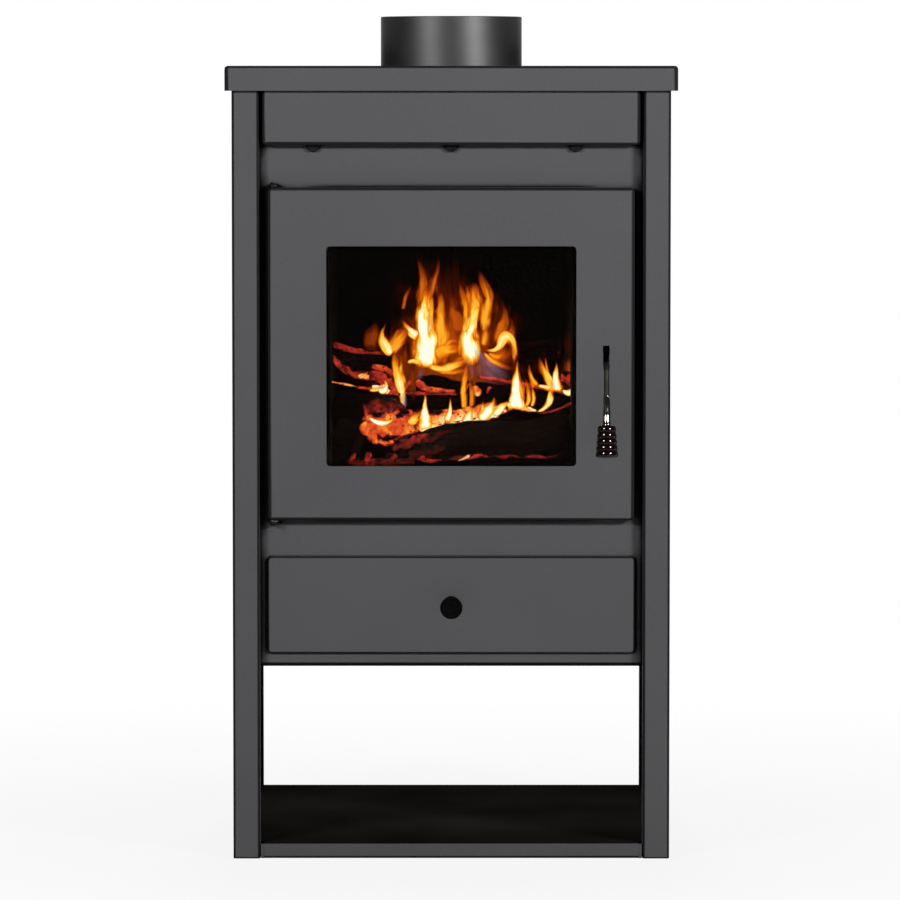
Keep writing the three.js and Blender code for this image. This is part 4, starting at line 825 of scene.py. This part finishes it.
# Name, depth, heat at the low side and at the high side, and rows of (x, z, half width)
GLOWS = [
    ("coal_left", 94, 0.7, 0.66,
     [(-83, 374, 6), (-72, 377, 12), (-56, 378, 13), (-40, 380, 12), (-28, 383, 9)]),
    ("coal_brown", 96, 0.4, 0.3, [(-80, 394, 4), (-66, 395, 8), (-54, 395, 8), (-44, 391, 5)]),
    ("slope", 94, 1.02, 0.66, [(-34, 380, 8), (-16, 384, 8), (4, 387, 7), (22, 391, 6), (40, 398, 5)]),
    ("ember_line", 88, 1.2, 1.1,
     [(-30, 373, 2), (-14, 377, 3), (4, 380, 3), (24, 384, 3), (38, 391, 4), (50, 398, 4)]),
    ("ember_line_right", 88, 1.1, 1.0, [(48, 398, 2), (58, 398, 2), (70, 395, 1.6), (78, 393, 1)]),
    ("front_top", 71, 0.4, 0.5, [(-52, 365, 1.6), (-42, 369, 2), (-32, 372, 2), (-24, 372, 1.5)]),
    ("front_top_right", 71, 0.3, 0.4, [(78, 391, 0.9), (92, 393, 1.1), (102, 397, 1.2), (112, 402, 1.2)]),
    ("high_top", 160, 0.4, 0.42,
     [(-114, 464, 1.6), (-108, 455, 2.4), (-96, 450, 2.4), (-80, 447, 1.9), (-60, 445, 1.3)]),
    ("high_under", 156, 0.44, 0.42,
     [(-110, 448, 1.2), (-105, 439, 2.2), (-96, 431, 2.8), (-84, 426, 3.1), (-70, 423, 3.1)]),
    ("high_under_end", 150, 0.5, 0.44,
     [(-74, 424, 2.8), (-66, 426, 4.9), (-58, 420, 4.9), (-50, 413, 2.8), (-44, 409, 1.4)]),
    ("pink_bark", 138, 0.5, 0.6, [(-72, 434, 1.5), (-66, 432, 2.5), (-58, 430, 2.5), (-53, 426, 1.5)]),
    ("left_line", 100, 0.86, 0.8, [(-114, 421, 0.8), (-105, 419, 0.8), (-94, 417, 0.8), (-84, 415, 0.4)]),
    ("left_line_red", 102, 0.5, 0.55, [(-86, 415, 1), (-72, 413, 1.5), (-58, 410, 1.5), (-46, 408, 1)]),
    ("left_spot", 100, 1.0, 1.1, [(-72, 414, 2), (-66, 413, 3), (-60, 413, 3.5), (-56, 410, 2)]),
    ("left_upper_spot", 140, 0.9, 0.8, [(-84, 424, 1.2), (-79, 425, 2), (-74, 424, 1.2)]),
    ("middle_pink", 134, 0.55, 0.62,
     [(-32, 422, 1.5), (-28, 417, 3.5), (-22, 413, 3), (-10, 412, 1.6), (4, 411, 1)]),
    ("middle_curl", 132, 0.45, 0.5, [(-46, 410, 1.2), (-40, 415, 1.6), (-36, 421, 1.2)]),
    ("middle_line", 130, 0.36, 0.45, [(-50, 408, 1.2), (-34, 409, 1.6), (-16, 409, 1.2), (6, 408, 0.8)]),
    ("right_chunk", 124, 0.78, 0.7, [(20, 416, 2), (23, 411, 3.5), (27, 409, 2.5)]),
    ("right_chunk_small", 124, 0.66, 0.7, [(11, 411, 1.4), (14, 415, 1.8), (16, 418, 1.2)]),
    ("right_speck", 124, 0.5, 0.5, [(32, 409, 1), (34, 413, 1.8), (36, 415, 1)]),
    ("right_top", 118, 0.4, 0.55,
     [(24, 424, 1), (44, 421, 1.6), (66, 417, 1.8), (88, 414, 2), (104, 410, 2)]),
    ("right_edge", 116, 0.42, 0.5, [(98, 424, 4.2), (106, 422, 5.6), (112, 418, 4.2)]),
    ("back_spot", 192, 0.5, 0.6, [(88, 444, 1.5), (92, 445, 2.4), (96, 448, 1.6)]),
    ("low_left", 53, 0.42, 0.26, [(-94, 345, 1.6), (-90, 349, 2.4), (-87, 355, 0.8)]),
    ("low_left_tall", 53, 0.46, 0.32, [(-77, 344, 3.2), (-76, 349, 3.2), (-74, 356, 1.6)]),
    ("low_left_right", 53, 0.46, 0.32, [(-56, 345, 3.2), (-53, 349, 3.2), (-50, 354, 1.2)]),
    ("low_band", 53, 0.3, 0.24, [(-96, 347, 2.4), (-76, 346, 3.2), (-50, 347, 3.2), (-30, 348, 2.4)]),
    ("low_line", 53, 0.37, 0.45, [(-36, 347, 0.8), (-27, 350, 2.4), (-18, 348, 1.4), (-8, 349, 0.6)]),
    ("low_line_middle", 53, 0.35, 0.42,
     [(-3, 349, 0.6), (6, 351, 1.8), (16, 350, 1), (26, 353, 2), (34, 351, 0.7)]),
    ("low_line_bright", 52, 0.95, 0.85,
     [(6, 348.5, 0.8), (10, 349.5, 1.2), (14, 351.5, 1.2), (17, 353, 0.6)]),
    ("low_line_right", 53, 0.33, 0.39, [(38, 353, 0.6), (46, 351, 1.7), (54, 353, 0.9), (62, 351, 0.5)]),
    ("low_line_far", 53, 0.32, 0.36, [(66, 351, 0.5), (76, 352, 1.3), (86, 351, 0.6), (96, 353, 0.5)]),
    # The bark rows glow faintly on the front log: faint smoulder, and painted firelight glinting on the bark
    ("bark_end", 66, 0.27, 0.33,
     [(-54, 357, 2), (-46, 363, 4.5), (-36, 366, 5), (-26, 369, 4), (-16, 372, 2)]),
    ("bark_top", 65, 0.2, 0.26,
     [(-28, 365, 2), (-14, 368, 4.5), (2, 371, 4.5), (18, 374, 3.5), (34, 378, 1.6)]),
    ("bark_front", 60, 0.18, 0.2, [(-40, 352, 2), (-24, 356, 6), (-4, 359, 6.5), (16, 362, 5), (34, 366, 2)]),
]

# Name, depth, power, rows of (x, z, half width), and for some how violet the flame is
FLAMES = [
    ("haze", 190, 0.2, [(0, 404, 60), (-2, 430, 74), (-2, 462, 62), (-4, 500, 44), (-6, 530, 30)]),
    ("centre_plume", 158, 0.34,
     [(-27, 486, 4), (-26, 499, 6), (-24, 511, 7), (-27, 523, 4), (-30, 537, 1.5)]),
    ("centre_fork", 157, 0.32, [(-19, 494, 3), (-16, 506, 3), (-13, 520, 2.5), (-11, 536, 1)]),
    ("centre_back", 156, 0.5,
     [(-15, 434, 9), (-10, 450, 9), (-9, 468, 7), (-11, 486, 5), (-12, 500, 4), (-13, 516, 1)]),
    ("centre_body", 154, 0.75,
     [(-22, 433, 13), (-22, 450, 13), (-23, 470, 11), (-23, 488, 7), (-21, 502, 4), (-17, 516, 1)]),
    ("centre_core", 150, 1.25,
     [(-23, 432, 10), (-23, 442, 11), (-23, 455, 11), (-24, 468, 8.5), (-24, 480, 6.5), (-23, 491, 4.5),
      (-23, 500, 2.6), (-22, 508, 1)]),
    ("centre_wing", 149, 0.95, [(-30, 461, 5), (-36, 464, 4.4), (-40, 468, 3), (-45, 476, 0.8)]),
    ("centre_wisp", 152, 0.34, [(-44, 485, 1.4), (-42, 492, 2.2), (-40, 499, 2), (-37, 507, 0.6)]),
    ("centre_foot", 148, 0.7, [(-40, 437, 1.4), (-34, 438, 3), (-27, 436, 3.2), (-20, 434, 2)]),
    ("middle_body", 154, 0.7,
     [(19, 434, 7), (17, 446, 10), (17, 460, 9), (18, 474, 7), (20, 488, 6), (21, 502, 4), (21, 511, 1)]),
    ("middle_core", 150, 1.1,
     [(19, 434, 5), (18, 443, 8), (17, 451, 9), (16, 461, 6.6), (18, 471, 4.8), (20, 481, 4),
      (22, 490, 3.6), (21, 500, 2.4), (20, 508, 1)]),
    ("middle_left", 158, 0.5,
     [(14, 468, 4), (13.5, 480, 4.5), (11.5, 490, 4), (9.5, 500, 3), (7.5, 510, 0.8)]),
    ("middle_top", 160, 0.44, [(20, 474, 7), (21, 486, 10), (21, 497, 11), (20, 505, 8), (19, 511, 2)]),
    ("middle_bulge", 156, 0.5,
     [(29, 462, 3), (31, 475, 5), (33, 486, 6.5), (33.5, 496, 6.5), (31, 506, 5), (27, 514, 3),
      (25, 520, 0.8)]),
    ("middle_dark", 162, 0.26, [(9, 462, 7), (6, 478, 7), (2, 492, 5), (-1, 505, 1.5)]),
    ("middle_haze", 164, 0.24, [(0, 444, 9), (-1, 462, 9), (0, 480, 6), (1, 494, 2)]),
    ("middle_side", 148, 0.5, [(29, 452, 3), (31, 460, 3.4), (31.5, 468, 2.6), (32, 475, 0.8)]),
    ("horn", 140, 0.95,
     [(-53, 446, 3), (-57, 448, 5), (-61, 454, 4.6), (-62, 461, 3.2), (-61, 467, 1.8), (-59, 473, 0.6)]),
    ("horn_curl", 142, 0.46, [(-56, 446, 5), (-51, 452, 7), (-46, 459, 7), (-42, 466, 4.5), (-40, 474, 1)]),
    ("horn_thread", 139, 0.8, [(-55, 446, 1), (-50, 450, 1.5), (-45, 456, 1.4), (-40, 464, 0.6)]),
    ("horn_haze", 144, 0.2, [(-74, 450, 5), (-72, 460, 7), (-70, 468, 5), (-68, 474, 2)]),
    ("smoke_right", 150, 0.33,
     [(43, 450, 6), (44, 461, 7.5), (46, 470, 7), (47, 479, 4.5), (46.5, 487, 2.2), (46, 494, 0.6)]),
    ("smoke_far", 149, 0.28, [(50, 454, 5), (53, 463, 5), (55, 470, 3.5), (53, 479, 1)]),
    ("sweep", 144, 0.8,
     [(30, 448, 1.2), (38, 448, 2), (43, 451, 3), (46, 457, 4.2), (49, 461, 4.4), (53, 458, 4),
      (55, 450, 4), (56, 440, 3.4), (56.5, 430, 2.4), (57, 422, 1)]),
    ("sweep_under", 145, 0.5, [(28, 447, 1), (34, 441, 2.6), (41, 437, 3.6), (48, 434, 3.6), (56, 431, 2.4)]),
    ("sweep_inner", 146, 0.42, [(33, 446, 1.5), (40, 442, 3.4), (46, 443, 3.4), (51, 449, 2)]),
    ("sweep_fill", 152, 0.28, [(30, 438, 6), (40, 440, 9), (50, 444, 9), (56, 448, 4)]),
    ("band_low", 147, 0.66, [(-22, 434, 2.6), (-10, 432, 4), (0, 434, 5), (10, 438, 5), (16, 440, 3)]),
    ("band_high", 151, 0.5, [(-15, 444, 5), (-6, 447, 7), (3, 448, 7), (12, 446, 5)]),
    ("band_edge", 146, 0.4, [(-12, 428, 1.6), (0, 428, 2.6), (10, 429, 3), (20, 430, 2)]),
    ("band_wave", 149, 0.42, [(-10, 440, 2), (-4, 452, 3), (2, 456, 3), (8, 452, 2)]),
    ("violet_fall", 147, 0.24,
     [(22, 452, 3), (26, 443, 5), (33, 434, 7), (42, 427, 8), (52, 422, 6), (60, 418, 2)], 1.0),
    ("violet_wide", 153, 0.16, [(22, 434, 6), (32, 430, 9), (44, 426, 9), (56, 420, 4)], 0.9),
    ("violet_core", 149, 0.18, [(-29, 420, 2), (-28, 427, 3.4), (-28, 435, 2)], 0.9),
    ("violet_tail", 131, 0.2, [(18, 420, 1), (19, 428, 2), (17, 436, 3), (13, 444, 2)], 0.7),
    ("stem", 106, 0.85,
     [(-46, 396, 1), (-44, 402, 2.2), (-45, 410, 4), (-47, 419, 5.8), (-48.5, 430, 5.2), (-50.5, 440, 3.2),
      (-52, 449, 0.8)]),
    ("stem_side", 107, 0.66, [(-46, 418, 3.4), (-45, 428, 3), (-45, 436, 1.8), (-45.5, 443, 0.6)]),
    ("stem_tail", 105, 0.4,
     [(-49, 391, 0.8), (-45, 393, 1.8), (-43, 399, 2.6), (-43.5, 407, 2.6), (-45, 414, 1)], 1.0),
    ("low_left", 82, 1.25,
     [(-22.6, 376, 6.4), (-23.4, 383, 5.4), (-24.2, 390, 4), (-23.6, 397, 2.4), (-23.4, 404, 1.3),
      (-23.6, 411, 0.5)]),
    ("low_left_glow", 84, 0.75, [(-39, 382, 2.4), (-35, 385, 4.4), (-31, 389, 5), (-27, 396, 2)]),
    ("low_left_foot", 83, 1.0, [(-30, 378, 2), (-22, 377, 3.4), (-14, 380, 2.6), (-10, 384, 1)]),
    ("low_middle", 84, 1.0, [(-5, 384, 3), (-3, 388, 3), (-1.4, 394, 1.8), (-0.9, 400, 1), (-0.8, 406, 0.4)]),
    ("low_middle_foot", 83, 0.9, [(-14, 377, 1.6), (-8, 376, 2.4), (-3, 379, 1.4)]),
    ("low_centre", 84, 1.1, [(12, 382, 4), (15, 386, 4.4), (17, 391, 2.6), (18, 398, 0.6)]),
    ("low_stem", 96, 0.5, [(13, 388, 3), (12, 402, 3), (12, 416, 3.6), (14, 430, 3), (15, 438, 1)]),
    ("low_stem_right", 97, 0.4, [(18, 390, 2), (19, 404, 2.4), (19, 418, 2.6), (18, 432, 1)]),
    ("low_bright", 83, 1.2, [(25, 384, 3), (31, 389, 5.4), (36, 394, 5.8), (38, 400, 3), (38, 407, 0.8)]),
    ("low_bright_side", 82, 1.05, [(38, 390, 3), (43, 394, 4), (48, 398, 3), (53, 401, 1.4)]),
    ("low_bright_left", 84, 0.8, [(24, 386, 2), (27, 392, 2.6), (28, 398, 1.6), (28.5, 404, 0.6)]),
    ("tall", 82, 1.3,
     [(60, 394, 9), (58.8, 402, 6.6), (57.6, 411, 4.2), (58, 421, 3), (58.8, 430, 2), (59.6, 440, 0.6)]),
    ("tall_foot", 81, 1.15, [(50, 399, 2), (58, 398, 3.4), (66, 396, 3.4), (73, 393, 1.6)]),
    ("tall_back", 90, 0.6, [(62, 398, 5), (63, 408, 4), (61, 420, 2.6), (60.5, 432, 1)]),
    ("thread_one", 100, 0.55, [(67, 396, 1.6), (70, 403, 2.4), (69.5, 412, 2.2), (66, 424, 0.8)]),
    ("thread_two", 101, 0.6, [(72, 396, 1.4), (75, 403, 2.2), (74.5, 411, 1.8), (72, 419, 0.6)]),
    ("thread_three", 104, 0.4, [(62, 402, 1.4), (65, 410, 2), (65, 418, 1.6), (63, 428, 0.6)]),
    ("ribbon", 98, 0.85,
     [(77, 392, 0.7), (83, 395, 1.8), (88.5, 401, 2.8), (91, 408, 3.2), (91.5, 416, 3.2), (91, 424, 1.6)]),
    ("far_orange", 112, 0.66, [(92, 413, 4.6), (88, 420, 4.4), (84, 427, 4), (81, 434, 3), (79, 442, 0.8)]),
    ("far_thin", 113, 0.6, [(89, 420, 2.2), (86.5, 430, 2), (84, 443, 0.5)]),
    ("far_yellow", 111, 1.05,
     [(96, 411, 5.6), (96, 418, 4.8), (95, 426, 3), (94.8, 431, 1.8), (95, 438, 0.6)]),
    ("far_foot", 110, 0.85, [(78, 416, 1.2), (86, 414, 2.4), (94, 412, 3), (102, 410, 1.6)]),
    ("far_small", 114, 0.5, [(78, 416, 2.6), (74, 422, 2.6), (71, 429, 2), (70, 436, 0.6)]),
    ("far_small_two", 114, 0.45, [(74, 414, 2), (72, 421, 1.8), (69, 428, 0.6)]),
    ("edge_white", 104, 1.25,
     [(100, 412, 1), (104, 410, 2.4), (108, 409.6, 3.6), (111, 412, 2), (112.5, 418, 0.6)]),
    ("edge_orange", 106, 0.7, [(110, 411, 2.4), (111.5, 420, 2.2), (112.5, 430, 0.8)]),
    ("edge_haze", 124, 0.26, [(106, 414, 9), (108, 430, 9), (108, 446, 7), (107, 464, 3)]),
    ("lick", 84, 1.3,
     [(-74, 387, 0.7), (-70, 384.6, 1.9), (-64, 382.6, 2.6), (-59, 382.4, 2.6), (-55, 384, 1.9),
      (-51, 388, 0.6)]),
    ("spot", 98, 1.2, [(-66, 412, 2), (-62, 412.6, 4), (-60, 416, 2.8), (-60.5, 422, 0.7)]),
    ("spot_side", 99, 0.66, [(-74, 412, 1.2), (-69, 413, 2.4), (-64, 415, 2), (-63, 420, 0.8)]),
    ("bark_flame", 138, 0.5, [(-84, 423, 1.4), (-79, 426, 2.4), (-75, 430, 0.8)]),
]


def make_fire():
    """The wood fire: burnt logs, the ember bed, its glowing stretches and its flames."""
    make_ember_bed()
    for name, start, end, radius, seed, flat in LOGS:
        make_log(f"log_{name}", in_view(*start), in_view(*end), radius * MM, seed, flat)
    for glow in GLOWS:
        make_glow(*glow)
    for tongue in FLAMES:
        make_flame(*tongue)


def make_base_tabs():
    """Ends of the base tray's rails, which close the notches beside the side panels."""
    low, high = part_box("base_plate")
    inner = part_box("right_side_panel")[0].x
    front = (inner - 3.6 * MM, inner - 0.4 * MM, low.y + 0.4 * MM, low.y + 6 * MM)
    back = (inner - 12 * MM, inner + 20.5 * MM, high.y - 5.1 * MM, high.y - 3.6 * MM)
    levels = (low.z + 0.2 * MM, high.z - 0.4 * MM)
    faces = [(0, 2, 6, 4), (1, 5, 7, 3), (0, 4, 5, 1), (2, 3, 7, 6), (0, 1, 3, 2), (4, 6, 7, 5)]
    for end, (left, right, near, far) in (("front", front), ("back", back)):
        for side in (-1, 1):
            points = [(side * x, y, z) for x in (left, right) for z in levels for y in (near, far)]
            name = f"base_tab_{end}_{side}"
            tab = make_piece(name, points, faces, "base_paint", "cabinet", smooth=False)
            rounding = tab.modifiers.new("rounding", "BEVEL")
            rounding.width = 0.3 * MM
            rounding.segments = 2


def make_shield_screws():
    """Pan-head screws along both sides of the rear shield."""
    low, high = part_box("rear_shield")
    side_margin, end_margin = 18 * MM, 30 * MM
    head = [(0.01, 1.7), (1.6, 1.6), (2.8, 1.2), (3.3, 0.5), (3.3, 0.05)]
    levels = [low.z + end_margin + share * (high.z - low.z - 2 * end_margin) for share in (0.0, 0.5, 1.0)]
    for column, x in enumerate((low.x + side_margin, high.x - side_margin)):
        for row, level in enumerate(levels):
            placing = Matrix.Translation((x, high.y, level)) @ QUARTER_BACK
            lathe(f"shield_screw_{column}_{row}", head, "black_steel", "cabinet", placing, 20)


def soften_handles():
    """The knob and the handle throw no shadow, as in light that is even all round."""
    names = ["drawer_knob_fine", "latch_grip_fine", "latch_ferrule_fine", "rod_ring_0", "rod_ring_1"]
    solids = [frame["nodes"][name] for name in ("latch_lever", "knob_screw")]
    for piece in solids + [bpy.data.objects[name] for name in names]:
        piece.visible_shadow = False


def make_pan_ash():
    """Ash that has dropped through the grate into the pan."""
    low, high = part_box("ash_pan")
    columns, rows = 60, 90
    side_gap, end_gap = 5.5 * MM, 9 * MM
    least_depth, heap_height = 4.5 * MM, 17 * MM
    points = []
    for row in range(rows):
        for column in range(columns):
            u, v = column / (columns - 1), row / (rows - 1)
            x = low.x + side_gap + (high.x - low.x - 2 * side_gap) * u
            y = low.y + end_gap + (high.y - low.y - 2 * end_gap) * v
            heap = math.exp(-(((u - 0.5) / 0.3) ** 2) - ((v - 0.48) / 0.33) ** 2)
            rough = noise.noise(Vector((x, y, 0)) * 40) * 2 + noise.noise(Vector((x, y, 1)) * 150) * 0.7
            points.append((x, y, low.z + least_depth + heap_height * heap + rough * MM))
    make_piece("pan_ash", points, grid_faces(rows, columns), "loose_ash", "drawer")


# Stage, lights and camera


def make_floor():
    """Pale floor that keeps the shadow close to the stove, and is white for the camera farther off."""
    s = Shader("floor")
    distance = s.node("ShaderNodeVectorMath", {"Vector": s.place}, operation="LENGTH").outputs["Value"]
    path = s.node("ShaderNodeLightPath").outputs
    behind = s.span(s.part(s.place, 1), 0.3, 1.2)
    mirrored = s.times(path["Is Glossy Ray"], behind)
    seen = s.math("MAXIMUM", path["Is Camera Ray"], s.math("MAXIMUM", mirrored, path["Is Transmission Ray"]))
    share = s.times(seen, s.span(distance, 0.3, 1.1, 0.88, 1.0))
    grain = s.noise(s.place, 60.0, 3.0)
    diffuse = s.node("ShaderNodeBsdfDiffuse")
    s.put(diffuse.inputs["Color"], s.mix(grain, (0.78, 0.78, 0.775), (0.84, 0.84, 0.835)))
    white = s.node("ShaderNodeEmission", {"Color": (1.0, 1.0, 1.0, 1.0), "Strength": 1.0})
    blend = s.node("ShaderNodeMixShader", {"Fac": share})
    s.put(blend.inputs[1], diffuse.outputs[0])
    s.put(blend.inputs[2], white.outputs[0])
    s.put(s.tree.nodes["Material Output"].inputs["Surface"], blend.outputs[0])
    mesh = bpy.data.meshes.new("floor")
    corners = [(x * FLOOR_REACH, y * FLOOR_REACH, 0.0) for x, y in ((-1, -1), (1, -1), (1, 1), (-1, 1))]
    mesh.from_pydata(corners, [], [(0, 1, 2, 3)])
    mesh.materials.append(MATERIALS["floor"])
    floor = bpy.data.objects.new("floor", mesh)
    bpy.context.scene.collection.objects.link(floor)


def make_world():
    """White for the camera and through glass; in metal, white behind the stove and a dim studio in front."""
    world = bpy.data.worlds.new("studio")
    world.use_nodes = True
    bpy.context.scene.world = world
    s = Nodes(world.node_tree)
    path = s.node("ShaderNodeLightPath").outputs
    direction = s.node("ShaderNodeTexCoord").outputs["Generated"]
    mirrored = s.span(s.part(direction, 1), 0.8, 1.0, STUDIO_FRONT, 1.0)
    indirect = s.span(path["Is Glossy Ray"], 0.0, 1.0, AMBIENT, mirrored)
    seen = s.math("MAXIMUM", path["Is Camera Ray"], path["Is Transmission Ray"])
    background = s.tree.nodes["Background"]
    background.inputs["Color"].default_value = (1.0, 1.0, 1.0, 1.0)
    s.put(background.inputs["Strength"], s.span(seen, 0.0, 1.0, indirect, 1.0))


def make_softbox(name, azimuth, power, aim_height, distance, mirrored=True):
    """A soft lamp at an angle round from the front, aimed at a height over the stove's front edge."""
    turn = math.radians(azimuth)
    place = Vector((math.sin(turn) * distance, FRONT - math.cos(turn) * distance, LAMP_HEIGHT))
    aim = Vector((0, FRONT, aim_height))
    lamp = bpy.data.lights.new(name, "AREA")
    lamp.shape = "RECTANGLE"
    lamp.size = LAMP_WIDTH
    lamp.size_y = LAMP_DEPTH
    lamp.energy = power
    holder = bpy.data.objects.new(name, lamp)
    holder.location = place
    holder.rotation_euler = (aim - place).to_track_quat("-Z", "Y").to_euler()
    holder.visible_glossy = mirrored
    bpy.context.scene.collection.objects.link(holder)


def make_camera():
    """The camera of the photograph, fitted to the stove's edges."""
    lens = bpy.data.cameras.new("camera")
    lens.sensor_width = 36.0
    lens.lens = LENS_LENGTH
    lens.shift_x = LENS_SHIFT
    lens.clip_end = 100.0
    camera = bpy.data.objects.new("camera", lens)
    camera.location = at(0, -CAMERA_REACH, CAMERA_HEIGHT)
    camera.rotation_euler = (math.radians(90 - CAMERA_DIP), 0.0, 0.0)
    bpy.context.scene.collection.objects.link(camera)
    bpy.context.scene.camera = camera


make_camera()
dress_cad_nodes()
rod_bend_centre, handle_frame = handle_points()
make_grips(handle_frame)
make_ferrule(handle_frame)
make_rod_rings(rod_bend_centre)
make_base_tabs()
make_shield_screws()
soften_handles()
make_fire()
make_pan_ash()
make_floor()
make_world()
make_softbox("softbox_left", -35, 52, FRONT_AIM, 2.7)
make_softbox("softbox_right", 43, 82, FRONT_AIM, 3.0)
make_softbox("softbox_rear", 180, 60, REAR_AIM, 3.0, mirrored=False)
bpy.context.scene.view_settings.view_transform = "Standard"
